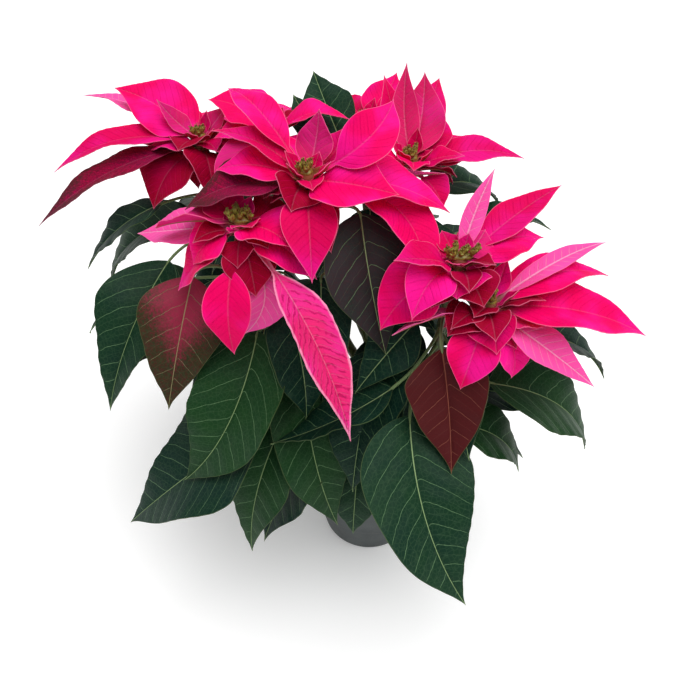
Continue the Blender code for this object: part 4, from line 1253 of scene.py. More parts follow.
@dataclass(frozen=True)
class LeafFace(BladeFinish):
    """Upper side of a poinsettia leaf: a leathery cuticle with a satin sheen.

    The eye sees deep bluish green that greys where it turns to the light, thin pale side veins that arch
    towards the tip, a lighter midrib, and a fine net between them. A leaf near a bloom may redden. The slate
    grey of a leaf whose tone is below nought is a painted sheen, and the pale line along the margin is a
    painted rim highlight.
    """

    deep: str = "#0A2920"
    fresh: str = "#193E18"
    slate_sheen: str = "#30292C"
    vein: str = "#7FA877"
    rib: str = "#9DB880"
    edge: str = "#56683C"
    maroon: str = "#4A1416"
    rose: str = "#A0284A"
    red_vein: str = "#9C5C4A"

    def make(self) -> bpy.types.Material:
        """Build the material."""
        graph = Graph(self.name, self.roughness, 1.46, Specular_IOR_Level=0.13)
        mask = self.masks(graph)
        cloud = graph.grain(22.0, 3.0)
        speck = graph.grain(1.7, 3.0, 0.7)
        tone = graph.sum((mask.tone, 0.8), (cloud, 0.7), base=-0.3)
        ruddy = graph.ease(graph.sum((mask.change, 1.5), (speck, 0.8), base=-0.62), 0.0, 0.7)
        glow = graph.times(mask.glow, graph.sum(
            (mask.reach, -0.9), (mask.share, -1.9), (speck, 1.2), base=1.05))
        reddened = graph.ease(mask.change, 0.1, 0.7)
        vein = graph.coats(self.vein, (reddened, self.red_vein))
        rib = graph.coats(self.rib, (reddened, self.red_vein))
        colour = graph.coats(
            self.deep,
            (tone, self.fresh),
            (graph.times(mask.net, 0.045), self.vein),
            # Painted sheen: a tone below nought turns the leaf slate grey
            (graph.fade(tone, -0.75, -0.3), self.slate_sheen),
            (ruddy, self.maroon),
            (graph.ease(glow, 0.1, 0.9, 0.0, 0.8), self.rose),
            (graph.times(mask.fine, 0.08), vein),
            (graph.times(mask.side, graph.sum((speck, 0.9))), vein),
            (graph.times(mask.rib, 0.75), rib),
            # Painted rim highlight along the leaf's margin
            (graph.times(mask.margin, 0.5), self.edge),
        )
        height = graph.sum(
            (mask.side, -0.5), (mask.fine, -0.2), (mask.rib, -0.5), (mask.net, -0.13),
            (graph.grain(1.0, 2.0), 0.14), base=0.9)
        gloss = graph.sum((speck, 0.14), (mask.side, 0.12), base=self.roughness - 0.07)
        return graph.wear(colour, height, 0.34, gloss)


@dataclass(frozen=True)
class LeafBack(BladeFinish):
    """Underside of a leaf: dull grey-green, with a raised pale net of veins."""

    skin: str = "#4E6E4C"
    shade: str = "#38563C"
    vein: str = "#9DB489"
    maroon: str = "#6E3A3C"

    def make(self) -> bpy.types.Material:
        """Build the material."""
        graph = Graph(self.name, self.roughness, 1.45)
        mask = self.masks(graph)
        colour = graph.coats(
            self.skin,
            (graph.grain(18.0, 3.0), self.shade),
            (graph.times(mask.change, 0.8), self.maroon),
            (graph.times(mask.net, 0.25), self.vein),
            (graph.times(mask.side, 0.7), self.vein),
        )
        height = graph.sum((mask.side, 0.6), (mask.net, 0.3), (graph.grain(1.0, 2.0), 0.15))
        return graph.wear(colour, height, 0.35)


@dataclass(frozen=True)
class GreenStem:
    """Succulent stem and leaf stalks: smooth, waxy, green with a red flush on the side in the light."""

    green: str = "#4C6230"
    shade: str = "#364A24"
    flush: str = "#6A2030"

    def make(self) -> bpy.types.Material:
        """Build the material; the tint layer's tone is the amount of red."""
        graph = Graph("Waxy green stem", 0.42, 1.45)
        tone = graph.layer("tint")[0]
        blot = graph.grain(7.0, 4.0)
        colour = graph.coats(
            self.green,
            (graph.grain(14.0, 2.0), self.shade),
            (graph.ease(graph.sum((tone, 1.0), (blot, 0.8), base=-0.4), 0.0, 0.9), self.flush),
        )
        return graph.wear(colour, graph.sum((graph.grain(0.9, 3.0), 0.6), (blot, 0.4)), 0.12)


@dataclass(frozen=True)
class YoungBark:
    """Young corky bark: olive brown and dull, with raised paler pores and lengthwise cracks."""

    green: str = "#5F6238"
    brown: str = "#6B5236"
    crack: str = "#33261A"
    pore: str = "#B49C72"

    def make(self) -> bpy.types.Material:
        """Build the material."""
        graph = Graph("Young corky bark", 0.82, 1.45)
        long_way = graph.add("ShaderNodeMapping", {"Vector": graph.place(), "Scale": (1.0, 1.0, 0.22)})
        crack = graph.grain(1.6, 4.0, 0.5, long_way.outputs[0])
        split = graph.ease(crack, 0.56, 0.68)
        pore = graph.ease(graph.cells(2.6), 0.30, 0.42)
        colour = graph.coats(
            self.green,
            (graph.ease(graph.grain(11.0, 3.0), 0.35, 0.65), self.brown),
            (split, self.crack),
            (graph.times(pore, 0.7), self.pore),
        )
        return graph.wear(colour, graph.sum((split, -0.6), (pore, 0.5), (crack, 0.3), base=0.4), 0.5)


@dataclass(frozen=True)
class WaxyTissue:
    """Small flower parts: waxy plant tissue in one colour that darkens in blots."""

    name: str
    light: str
    dark: str
    roughness: float = 0.38

    def make(self) -> bpy.types.Material:
        """Build the material."""
        graph = Graph(self.name, self.roughness, 1.45)
        blot = graph.grain(1.5, 3.0)
        colour = graph.coats(self.light, (graph.ease(blot, 0.35, 0.7), self.dark))
        return graph.wear(colour, blot, 0.15)


@dataclass(frozen=True)
class PotPlastic:
    """Injection-moulded recycled polypropylene: matt dark grey, with a fine grain and some dust."""

    grey: str = "#394141"
    dark: str = "#2D3536"
    dust: str = "#77756C"

    def make(self) -> bpy.types.Material:
        """Build the material; the grain is 0.5 mm, drawn coarser than the real one so that it shows."""
        graph = Graph("Moulded polypropylene", 0.56, 1.49)
        grit = graph.grain(0.5, 2.0)
        cloud = graph.grain(24.0, 4.0)
        colour = graph.coats(
            self.grey,
            (graph.ease(cloud, 0.3, 0.7), self.dark),
            (graph.ease(graph.sum((cloud, 0.6), (grit, 0.4)), 0.56, 0.72, 0.0, 0.35), self.dust),
        )
        return graph.wear(colour, grit, 0.08, graph.sum((cloud, 0.2), base=0.46))


@dataclass(frozen=True)
class PeatCompost:
    """Milled sphagnum peat: very dark, rough and fibrous, with paler woody bits."""

    peat: str = "#2A1C12"
    dark: str = "#120B07"
    fibre: str = "#6A4A2C"

    def make(self) -> bpy.types.Material:
        """Build the material."""
        graph = Graph("Milled peat compost", 0.93, 1.4)
        crumb = graph.cells(1.6)
        blot = graph.grain(3.5, 5.0, 0.7)
        colour = graph.coats(
            self.peat,
            (graph.ease(blot, 0.4, 0.65), self.dark),
            (graph.ease(graph.grain(0.9, 3.0, 0.7), 0.60, 0.72), self.fibre),
        )
        return graph.wear(colour, graph.sum((crumb, 0.6), (blot, 0.6)), 0.7)


@dataclass(frozen=True)
class StudioPaper:
    """Seamless white background paper, matt and even, that glows a little so that shadows stay faint."""

    white: str = "#F7F7F7"
    glow: float = 0.17

    def make(self) -> bpy.types.Material:
        """Build the material."""
        graph = Graph("Seamless paper", 0.9, 1.3, Emission_Strength=self.glow)
        graph.shader.inputs["Emission Color"].default_value = (1.0, 1.0, 1.0, 1.0)
        return graph.wear(self.white, graph.grain(2.0), 0.02)


class Palette:
    """All finishes of the plant, made once."""

    def __init__(self) -> None:
        """Make every material."""
        self.bract = [
            BractFace("Bract upper side", roughness=0.58, side_vein=0.09, midrib=0.8, net=2.4).make(),
            BractBack("Bract underside", roughness=0.62, side_vein=0.12, midrib=0.8, net=2.4).make(),
        ]
        self.leaf = [
            LeafFace("Leaf cuticle", roughness=0.49, side_vein=0.024, midrib=0.42, net=3.2).make(),
            LeafBack("Leaf underside", roughness=0.70, side_vein=0.08, midrib=1.0, net=3.2).make(),
        ]
        self.bract_rib = WaxyTissue("Bract midrib", "#B82050", "#8E2A40", 0.6).make()
        self.stem = GreenStem().make()
        self.receptacle = WaxyTissue("Receptacle", "#4C5A24", "#3A2A16").make()
        self.bark = YoungBark().make()
        self.cup = WaxyTissue("Cyathium cup", "#92923A", "#6A2E1C").make()
        self.disc = WaxyTissue("Cyme disc", "#5C2A1C", "#34140F", 0.6).make()
        self.gland = WaxyTissue("Nectar gland", "#F2D850", "#C49A28", 0.3).make()
        self.thread = WaxyTissue("Stamen thread", "#B8322E", "#8A1E22", 0.5).make()
        self.anther = WaxyTissue("Pollen", "#F2DC78", "#C8A83C", 0.8).make()
        self.plastic = PotPlastic().make()
        self.peat = PeatCompost().make()
        self.perlite = WaxyTissue("Expanded perlite", "#DEDACE", "#B4AE9E", 0.9).make()
        self.paper = StudioPaper().make()


LAYERS = ("vein", "skin", "tint")


def new_part() -> Part:
    """An empty bmesh with the layers that the blades' finishes read."""
    part = bmesh.new()
    for name in LAYERS:
        part.verts.layers.float_vector.new(name)
    return part


def mesh_from(part: Part) -> bpy.types.Mesh:
    """Mesh of a finished part, which is freed."""
    mesh = bpy.data.meshes.new("part")
    part.to_mesh(mesh)
    part.free()
    return mesh


def merge(work: Part, part: Part) -> None:
    """Add a part to the work, and free it."""
    mesh = mesh_from(part)
    work.from_mesh(mesh)
    bpy.data.meshes.remove(mesh)


def placed(name: str, data) -> bpy.types.Object:
    """New object of a mesh, a light or a camera, in the scene."""
    thing = bpy.data.objects.new(name, data)
    bpy.context.scene.collection.objects.link(thing)
    return thing


def worked_in(body: bpy.types.Object) -> bpy.types.Mesh:
    """Mesh of an object with its modifiers worked in; the object is removed."""
    bpy.context.view_layer.update()
    shape = body.evaluated_get(bpy.context.evaluated_depsgraph_get())
    mesh = bpy.data.meshes.new_from_object(shape)
    bpy.data.objects.remove(body)
    return mesh


def metres(point: Vector) -> Vector:
    """A point in millimetres as one in metres."""
    return point * MM


@dataclass
class Piece:
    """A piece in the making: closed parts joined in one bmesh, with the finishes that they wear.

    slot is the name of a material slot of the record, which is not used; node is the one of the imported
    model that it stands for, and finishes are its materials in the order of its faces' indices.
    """

    name: str
    slot: str
    node: str
    finishes: list
    work: Part = field(default_factory=new_part)

    def join(self, part: Part, finish: bpy.types.Material | None = None) -> None:
        """Add a part and free it; finish is the one of the piece's materials that all its faces wear."""
        if finish is not None:
            index = self.finishes.index(finish)
            for face in part.faces:
                face.material_index = index
        merge(self.work, part)

    def done(self, mesh: bpy.types.Mesh | None = None) -> None:
        """Make the piece of its joined parts, or of a mesh in metres that was shaped elsewhere."""
        mesh = mesh or mesh_from(self.work)
        mesh.name = self.name
        mesh.materials.clear()
        for finish in self.finishes:
            mesh.materials.append(finish)
        mesh.shade_smooth()
        mesh.set_sharp_from_angle(angle=SHARP_ANGLE)
        piece = placed(self.name, mesh)
        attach(piece, BODY)
        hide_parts(self.node)
        LOG.info("%s: %d faces", self.name, len(mesh.polygons))


def tube(points: list[Vector], radii: list[float], sides: int, tone: float = 0.0) -> Part:
    """A round tube, rolled up from a grid and closed at both ends.

    Args:
        points: Centres of its rings, in millimetres.
        radii: Radius at each of them.
        sides: Faces round it.
        tone: Value of the tint layer's tone.

    Returns:
        The tube as a bmesh in metres.
    """
    part = new_part()
    tint = part.verts.layers.float_vector["tint"]
    made = bmesh.ops.create_grid(part, x_segments=sides, y_segments=len(points) - 1, size=1.0)["verts"]
    frames = rings(points, radii)
    for index, vert in enumerate(made):
        ring, k = divmod(index, sides + 1)
        centre, side, other, radius = frames[ring]
        angle = FULL_TURN * k / sides
        vert.co = metres(centre + (side * math.cos(angle) + other * math.sin(angle)) * radius)
        vert[tint] = (tone, 0.0, 0.0)
    bmesh.ops.remove_doubles(part, verts=part.verts, dist=MERGE_DISTANCE)
    bmesh.ops.holes_fill(part, edges=[edge for edge in part.edges if edge.is_boundary], sides=0)
    bmesh.ops.recalc_face_normals(part, faces=part.faces)
    return part


def turned(profile: list, steps: int) -> Part:
    """A solid of revolution about Z.

    Args:
        profile: Radius and height of each point, as pairs or vectors, from axis to axis, in millimetres.
        steps: Faces round it.

    Returns:
        The solid as a bmesh in metres.
    """
    part = new_part()
    line = [part.verts.new((radius * MM, 0.0, height * MM)) for radius, height in profile]
    edges = [part.edges.new(pair) for pair in zip(line, line[1:])]
    bmesh.ops.spin(
        part, geom=line + edges, cent=(0, 0, 0), axis=(0, 0, 1), steps=steps, angle=FULL_TURN,
        use_merge=True)
    bmesh.ops.remove_doubles(part, verts=part.verts, dist=MERGE_DISTANCE)
    bmesh.ops.recalc_face_normals(part, faces=part.faces)
    return part


def rounded(points: list[tuple[float, float]], radius: float, steps: int = 3) -> list[Vector]:
    """Outline with each inner corner of a profile rounded to about a radius in millimetres."""
    corners = [Vector(point) for point in points]
    found = [corners[0]]
    for before, corner, after in zip(corners, corners[1:], corners[2:]):
        ends = [
            corner.lerp(other, min(radius / (other - corner).length, 0.45)) for other in (before, after)]
        found += [bezier((ends[0], corner, ends[1]), step / steps) for step in range(steps + 1)]
    return found + [corners[-1]]


@dataclass(frozen=True)
class BladeStyle:
    """How finely blades of one kind are drawn, and the relief between their veins, in millimetres.

    claw is the half width at which a bract sits on its receptacle, and claw_share the share of its length
    over which it tapers. stagger is how far the veins of the two halves are shifted, in turns.
    """

    rows: int
    columns: int
    crowding: float
    thickness: float
    vein_spacing: float
    vein_slant: float
    vein_arch: float
    quilt: float
    pucker: float
    groove: float
    rib_radius: float
    rib_sides: int
    rib_start: float = 0.05
    rib_length: float = 0.92
    rib_tip_radius: float = 0.12
    claw: float = 0.0
    claw_share: float = 0.4
    groove_width: float = 1.3
    stagger: float = 0.25

    def relief(self, phase: float, reach: float, across: float, line: Station, depth: float) -> float:
        """Height of the upper side above the plain blade.

        Args:
            phase: Phase of the side veins, a whole number on each vein.
            reach: Share of the half width.
            across: Distance from the midrib.
            line: The line across the blade.
            depth: How deeply the blade is quilted.

        Returns:
            The height in millimetres.
        """
        inner = min(1.0, reach * 5.0) * (1.0 - 0.55 * reach) * line.swell
        pillow = self.quilt * depth * inner * (0.5 - 0.5 * math.cos(FULL_TURN * phase))
        wave = self.pucker * min(depth, 2.0) * line.swell * reach ** 4 * math.sin(FULL_TURN * phase)
        groove = self.groove * math.exp(-(across / self.groove_width) ** 2) * (1.0 - 0.6 * line.row)
        return pillow + wave - groove + 0.5 * self.thickness

    def face(self, blade: Blade) -> Part:
        """The flat part of a blade with its short stalk, as a thin closed sheet.

        The upper side has material 0 and the underside material 1.
        """
        part = new_part()
        vein, skin, tint = (part.verts.layers.float_vector[name] for name in LAYERS)
        made = bmesh.ops.create_grid(part, x_segments=self.columns, y_segments=self.rows, size=1.0)["verts"]
        tone, glow, change, depth = blade.tint.value
        length = blade.chord - blade.stalk
        width = self.columns + 1
        for i in range(self.rows + 1):
            share = i / self.rows
            line = station_at(blade, share)
            line = replace(line, wide=max(line.wide, self.claw * (1.0 - share / self.claw_share)))
            for vert in made[i * width:(i + 1) * width]:
                column = -math.copysign(abs(vert.co.x) ** self.crowding, vert.co.x)
                reach = abs(column)
                across = reach * line.wide
                lag = self.vein_slant * across + self.vein_arch * across * across
                phase = (line.row * length - lag) / self.vein_spacing
                phase += self.stagger * math.tanh(20.0 * column) + blade.phase / FULL_TURN
                relief = self.relief(phase, reach, across, line, depth)
                vert.co = metres(line.point(blade, column, relief))
                vert[vein] = (phase, across * math.copysign(1.0, column), share)
                vert[skin] = (line.wide - across, reach, depth)
                vert[tint] = (tone, glow, change)
        tip = made[-width:]
        bmesh.ops.pointmerge(part, verts=tip, merge_co=tip[width // 2].co.copy())
        part.normal_update()
        doubled = bmesh.ops.solidify(part, geom=list(part.faces), thickness=self.thickness * MM)["geom"]
        for face in doubled:
            if isinstance(face, bmesh.types.BMFace):
                face.material_index = 1
        return part

    def rib(self, blade: Blade, lead: list[Vector], lead_radii: list[float], tone: float) -> Part:
        """The midrib: a tapering tube along the underside, which a stalk may lead into.

        Args:
            blade: The blade.
            lead: Points of the stalk, from the stem on.
            lead_radii: Radius at each of them.
            tone: How red the rib is.

        Returns:
            The tube as a bmesh in metres.
        """
        points, radii = list(lead), list(lead_radii)
        count = self.rib_sides * 2
        for i in range(count):
            share = self.rib_start + self.rib_length * i / (count - 1)
            line = station_at(blade, share)
            radius = self.rib_radius * (1.0 - share) ** 0.8 + self.rib_tip_radius
            points.append(line.middle - line.normal * (self.groove + 0.9 * radius))
            radii.append(radius)
        return tube(points, radii, self.rib_sides, tone)


LEAF_STYLE = BladeStyle(
    rows=54, columns=30, crowding=1.3, thickness=0.5, vein_spacing=15.0, vein_slant=0.5, vein_arch=0.011,
    quilt=0.55, pucker=0.45, groove=0.35, rib_radius=1.05, rib_sides=8)
BRACT_STYLE = BladeStyle(
    rows=40, columns=22, crowding=1.25, thickness=0.45, vein_spacing=6.4, vein_slant=0.75, vein_arch=0.010,
    quilt=0.22, pucker=0.12, groove=0.30, rib_radius=0.65, rib_sides=6, claw=3.2)
SMALL_LEAF_STYLE = replace(LEAF_STYLE, rows=40, columns=18)
SMALL_BRACT_STYLE = replace(BRACT_STYLE, rows=22, columns=12)


@dataclass(frozen=True)
class LeafyStem:
    """One shoot below its bloom: a jointed green stem with its stalked leaves."""

    shoot: Shoot
    leaves: list[tuple[Leaf, Blade]]
    rings: int = 70
    sides: int = 16
    joint_swell: float = 0.55
    joint_spread: float = 0.018
    into_stub: float = 1.6
    into_receptacle: float = 2.0
    collar: float = 0.9
    collar_spread: float = 0.03
    redness: float = 0.25
    stalk_rings: int = 12
    stalk_radius: float = 1.15
    stalk_flare: float = 1.1
    stalk_redness: tuple[float, float] = (0.25, 0.95)

    def joints(self) -> list[float]:
        """Shares of the stem's length where a leaf stands or has stood."""
        fallen = [0.10 + 0.115 * k for k in range(7)]
        return [leaf.at for leaf, _ in self.leaves] + fallen

    def stem(self) -> Part:
        """The stem, from inside the trunk's stub to inside the receptacle."""
        controls = self.shoot.stem_controls
        points = [controls[0] - self.shoot.fork_direction * self.into_stub]
        radii = [STEM_RADIUS + self.collar]
        joints = self.joints()
        for i in range(self.rings):
            share = i / (self.rings - 1)
            points.append(bezier(controls, share))
            swell = sum(math.exp(-((share - joint) / self.joint_spread) ** 2) for joint in joints)
            collar = self.collar * math.exp(-(share / self.collar_spread) ** 2)
            taper = STEM_RADIUS + (STEM_TOP_RADIUS - STEM_RADIUS) * share
            radii.append(taper + self.joint_swell * min(swell, 1.0) + collar)
        points.append(points[-1] + UP * self.into_receptacle)
        radii.append(STEM_TOP_RADIUS)
        return tube(points, radii, self.sides, self.redness)

    def stalk(self, leaf: Leaf, blade: Blade) -> tuple[list[Vector], list[float]]:
        """Points and radii of a leaf's stalk, which flares at the stem."""
        points, radii = [], []
        for i in range(self.stalk_rings):
            share = i / self.stalk_rings
            points.append(petiole_point(self.shoot, leaf, blade, share))
            radii.append(self.stalk_radius + self.stalk_flare * max(0.0, 1.0 - share * 5.0) ** 1.5)
        return points, radii

    def build(self, palette: Palette) -> None:
        """Make the stem as one piece and the leaves with their stalks as another."""
        number = self.shoot.number
        node = f"shoot_{number}"
        stem = Piece(f"stem_{number}", "leaf", node, [palette.stem])
        stem.join(self.stem())
        stem.done()
        foliage = Piece(f"leaves_{number}", "leaf", node, palette.leaf + [palette.stem])
        draw = random.Random(f"stalks {number}")
        for leaf, blade in self.leaves:
            points, radii = self.stalk(leaf, blade)
            style = SMALL_LEAF_STYLE if blade.width < SMALL_LEAF_WIDTH else LEAF_STYLE
            foliage.join(style.rib(blade, points, radii, draw.uniform(*self.stalk_redness)), palette.stem)
            foliage.join(style.face(blade))
        foliage.done()


@dataclass(frozen=True)
class Bloom:
    """A whorl of bracts on the short receptacle at the top of a shoot."""

    shoot: Shoot
    bracts: list[Blade]
    sides: int = 18

    def receptacle(self) -> Part:
        """The swollen end of the stem that the bracts grow from."""
        top = Vector(self.shoot.top)
        heights = (-1.0, -0.85, -0.7, -0.5, -0.25, -0.06, 0.0)
        shares = (0.0, 0.45, 0.82, 1.0, 1.0, 0.94, 0.80)
        spread = HUB_RADIUS - STEM_TOP_RADIUS
        points = [top + UP * (HUB_HEIGHT * height) for height in heights]
        return tube(points, [STEM_TOP_RADIUS + spread * share for share in shares], self.sides, 0.2)

    def build(self, palette: Palette) -> None:
        """Make the bracts and the receptacle as one piece."""
        number = self.shoot.number
        finishes = palette.bract + [palette.bract_rib, palette.receptacle]
        piece = Piece(f"bracts_{number}", "bract", f"bloom_{number}", finishes)
        piece.join(self.receptacle(), palette.receptacle)
        for blade in self.bracts:
            style = SMALL_BRACT_STYLE if blade.width < SMALL_BRACT_WIDTH else BRACT_STYLE
            piece.join(style.rib(blade, [], [], 0.0), palette.bract_rib)
            piece.join(style.face(blade))
        piece.done()


@dataclass(frozen=True)
class BudCluster:
    """The small true flowers of a bloom: green cups with a yellow nectar gland and red stamens."""

    shoot: Shoot
    cup_steps: int = 12
    cup_radius: float = 2.0
    lobes: int = 5
    gland_radius: float = 1.15
    thread_radius: float = 0.16
    anther_radius: float = 0.36

    def plate(self) -> Part:
        """The low dome that the cups stand on."""
        wide, deep = self.shoot.cluster
        part = new_part()
        bmesh.ops.create_uvsphere(part, u_segments=20, v_segments=8, radius=MM)
        shape = Matrix.Diagonal((wide * 0.66, deep * 0.66, BUD_PLATE, 1.0))
        place = Matrix.Translation(metres(Vector(self.shoot.top) + UP * (0.2 * BUD_PLATE)))
        bmesh.ops.transform(part, matrix=place @ shape, verts=part.verts)
        return part

    def cup(self, height: float) -> Part:
        """One cup: an egg on a short foot, open at its top."""
        shares = (
            (0.0, 0.0), (0.42, 0.0), (0.50, 0.12), (0.80, 0.28), (1.0, 0.52), (0.96, 0.74), (0.76, 0.90),
            (0.60, 0.97), (0.48, 0.95), (0.42, 0.84), (0.0, 0.80))
        return turned([(self.cup_radius * wide, height * up) for wide, up in shares], self.cup_steps)

    def lobe(self, height: float, angle: float) -> Part:
        """One small red-edged tooth at the mouth of a cup."""
        out = bearing(angle)
        foot = out * (0.60 * self.cup_radius) + UP * (0.90 * height)
        tip = out * (0.42 * self.cup_radius) + UP * (1.13 * height)
        return tube([foot, foot.lerp(tip, 0.6), tip], [0.42, 0.30, 0.06], 5)

    def gland(self, height: float, angle: float) -> Part:
        """The nectar gland: a fat two-lipped cushion on the cup's side."""
        part = new_part()
        bmesh.ops.create_uvsphere(part, u_segments=12, v_segments=8, radius=self.gland_radius * MM)
        for vert in part.verts:
            lip = math.exp(-(vert.co.z / (0.34 * self.gland_radius * MM)) ** 2)
            vert.co.x -= 0.42 * self.gland_radius * MM * lip * (vert.co.x > 0.0)
        bmesh.ops.scale(part, vec=(0.72, 1.15, 0.78), verts=part.verts)
        turn = Matrix.Rotation(angle, 4, "Z")
        shift = Matrix.Translation(metres(Vector((1.02 * self.cup_radius, 0.0, 0.70 * height))))
        bmesh.ops.transform(part, matrix=turn @ shift, verts=part.verts)
        return part

    def stamen(self, height: float, angle: float, lean: float, rise: float) -> tuple:
        """A stamen's thread and its pollen head."""
        out = bearing(angle)
        foot = UP * (0.82 * height) + out * 0.3
        middle = UP * (height + 0.4 * rise) + out * (0.3 + 0.3 * lean)
        tip = UP * (height + rise) + out * (0.3 + lean)
        thread = tube([foot, middle, tip], [self.thread_radius] * 3, 4)
        head = new_part()
        bmesh.ops.create_icosphere(head, subdivisions=1, radius=self.anther_radius * MM)
        bmesh.ops.scale(head, vec=(1.25, 1.25, 0.85), verts=head.verts)
        bmesh.ops.translate(head, vec=metres(tip), verts=head.verts)
        return thread, head

    def build(self, palette: Palette) -> None:
        """Make the whole cluster as one piece."""
        number = self.shoot.number
        draw = random.Random(f"cups {number}")
        finishes = [palette.cup, palette.gland, palette.thread, palette.anther, palette.disc]
        piece = Piece(f"cyathia_{number}", "bud", f"buds_{number}", finishes)
        piece.join(self.plate(), palette.disc)
        middle = Vector(self.shoot.top)
        for bud in planned_buds(self.shoot):
            outward = math.atan2(bud.foot.y - middle.y, bud.foot.x - middle.x)
            gland = self.gland(bud.height, outward + draw.uniform(-0.6, 0.6))
            parts = [(self.cup(bud.height), palette.cup), (gland, palette.gland)]
            for k in range(self.lobes):
                finish = palette.thread if k % 2 else palette.cup
                parts.append((self.lobe(bud.height, FULL_TURN * k / self.lobes), finish))
            for _ in range(draw.randint(3, 6)):
                angle, lean = draw.uniform(0.0, FULL_TURN), draw.uniform(0.2, 1.3)
                thread, head = self.stamen(bud.height, angle, lean, draw.uniform(0.7, 1.9))
                parts += [(thread, palette.thread), (head, palette.anther)]
            turn = UP.rotation_difference(bud.along).to_matrix().to_4x4()
            place = Matrix.Translation(metres(bud.foot)) @ turn
            for part, finish in parts:
                bmesh.ops.transform(part, matrix=place, verts=part.verts)
                piece.join(part, finish)
        piece.done()


@dataclass(frozen=True)
class Trunk:
    """The woody main stem with a short stub for each shoot, grown together."""

    top: float = SHOOTS[0].fork
    root_depth: float = 40.0
    radius: float = 6.0
    top_radius: float = 4.6
    stub_radius: float = 4.6
    stub_flare: float = 0.3
    stub_end_radius: float = 3.9
    voxel: float = 0.8
    roughness: float = 0.35
    bark_grain: float = 5.0
    scar_depth: float = 0.35
    scar_spacing: float = 9.0
    rings: int = 24
    sides: int = 24
    stub_sides: int = 16
    smoothings: int = 4

    def limbs(self) -> list[Part]:
        """The trunk and its stubs as overlapping tubes."""
        foot = SOIL_LEVEL - self.root_depth + GAP
        points, radii = [], []
        for i in range(self.rings):
            height = foot + (self.top - foot) * i / (self.rings - 1)
            share = max(0.0, height - SOIL_LEVEL) / (self.top - SOIL_LEVEL)
            points.append(UP * height)
            radii.append(self.radius + (self.top_radius - self.radius) * share)
        found = [tube(points, radii, self.sides)]
        middle = 0.5 * (self.stub_radius + self.stub_end_radius)
        stub_radii = [self.stub_radius + self.stub_flare, middle, self.stub_end_radius]
        for shoot in SHOOTS[1:]:
            fork = UP * shoot.fork
            ends = [fork, fork.lerp(shoot.stem_start, 0.5), shoot.stem_start]
            found.append(tube(ends, stub_radii, self.stub_sides))
        return found

    def grown(self) -> bpy.types.Mesh:
        """The limbs grown together in one skin."""
        whole = new_part()
        for limb in self.limbs():
            merge(whole, limb)
        body = placed("rough trunk", mesh_from(whole))
        skin = body.modifiers.new("Skin", "REMESH")
        skin.mode = "VOXEL"
        skin.voxel_size = self.voxel * MM
        return worked_in(body)

    def build(self, palette: Palette) -> None:
        """Smooth the grown skin, then roughen it above the soil with bark and leaf scars."""
        mesh = self.grown()
        work = bmesh.new()
        work.from_mesh(mesh)
        for _ in range(self.smoothings):
            bmesh.ops.smooth_vert(
                work, verts=work.verts, factor=0.5, use_axis_x=True, use_axis_y=True, use_axis_z=True)
        work.normal_update()
        for vert in work.verts:
            if vert.co.z < SOIL_LEVEL * MM:
                continue
            bark = noise.fractal(vert.co * per_metre(self.bark_grain), 0.8, 2.0, 3) * self.roughness
            scar = math.cos(FULL_TURN * vert.co.z / (self.scar_spacing * MM)) ** 8 * self.scar_depth
            vert.co += vert.normal * ((bark + scar) * MM)
        work.to_mesh(mesh)
        work.free()
        Piece("trunk_bark", "woody_stem", "trunk", [palette.bark]).done(mesh)


@dataclass(frozen=True)
class Pot:
    """The tapered nursery pot: one moulded cup with a stepped rim and drain holes."""

    height: float = 105.0
    rim_radius: float = 60.0
    base_radius: float = 41.0
    heel: float = 2.0
    wall: float = 1.8
    rim_height: float = 15.0
    rim_step: float = 2.2
    drain_holes: int = 5
    drain_hole_radius: float = 4.0
    drain_ring_radius: float = 27.0
    steps: int = 96

    def outer_radius(self, height: float) -> float:
        """Outer radius of the tapered wall below the rim."""
        wall_top = self.rim_radius - self.rim_step
        return self.base_radius + (wall_top - self.base_radius) * height / (self.height - self.rim_height)

    def profile(self) -> list[Vector]:
        """Outline of the wall, from the middle of the underside round the rim to that of the floor."""
        step = self.height - self.rim_height
        inside = self.rim_radius - self.wall
        low_ring = 0.42 * step
        outline = [
            (0.0, 0.8),
            (self.drain_ring_radius + 8.0, 0.8),
            (self.drain_ring_radius + 9.0, 0.0),
            (self.outer_radius(0.0) - self.heel, 0.0),
            (self.outer_radius(self.heel), self.heel),
            (self.outer_radius(low_ring), low_ring),
            (self.outer_radius(low_ring) + 0.35, low_ring + 0.8),
            (self.outer_radius(step) - 0.1, step),
            (self.rim_radius - 0.5, step + 0.5),
            (self.rim_radius - 0.1, self.height - 2.6),
            (self.rim_radius, self.height - 2.2),
            (self.rim_radius, self.height),
            (inside, self.height),
            (inside - 0.4, step + self.wall),
            (self.outer_radius(step) - self.wall, step - 0.6),
            (self.outer_radius(self.wall) - self.wall, self.wall),
            (0.0, self.wall),
        ]
        return rounded(outline, 0.7)

    def drills(self) -> bpy.types.Mesh:
        """A rod through the floor for each drain hole."""
        drills = bmesh.new()
        drill = self.drain_hole_radius * MM
        for index in range(self.drain_holes):
            spot = heading(360.0 * index / self.drain_holes) * self.drain_ring_radius
            bmesh.ops.create_cone(
                drills, cap_ends=True, segments=28, radius1=drill, radius2=drill,
                depth=6.0 * self.wall * MM, matrix=Matrix.Translation(metres(spot)))
        return mesh_from(drills)

    def build(self, palette: Palette) -> None:
        """Turn the wall and cut the drain holes."""
        body = placed("rough pot", mesh_from(turned(self.profile(), self.steps)))
        cutter = placed("drills", self.drills())
        cut = body.modifiers.new("Drain holes", "BOOLEAN")
        cut.operation = "DIFFERENCE"
        cut.object = cutter
        shell = worked_in(body)
        bpy.data.objects.remove(cutter)
        Piece("nursery_pot", "pot_plastic", "pot", [palette.plastic]).done(shell)


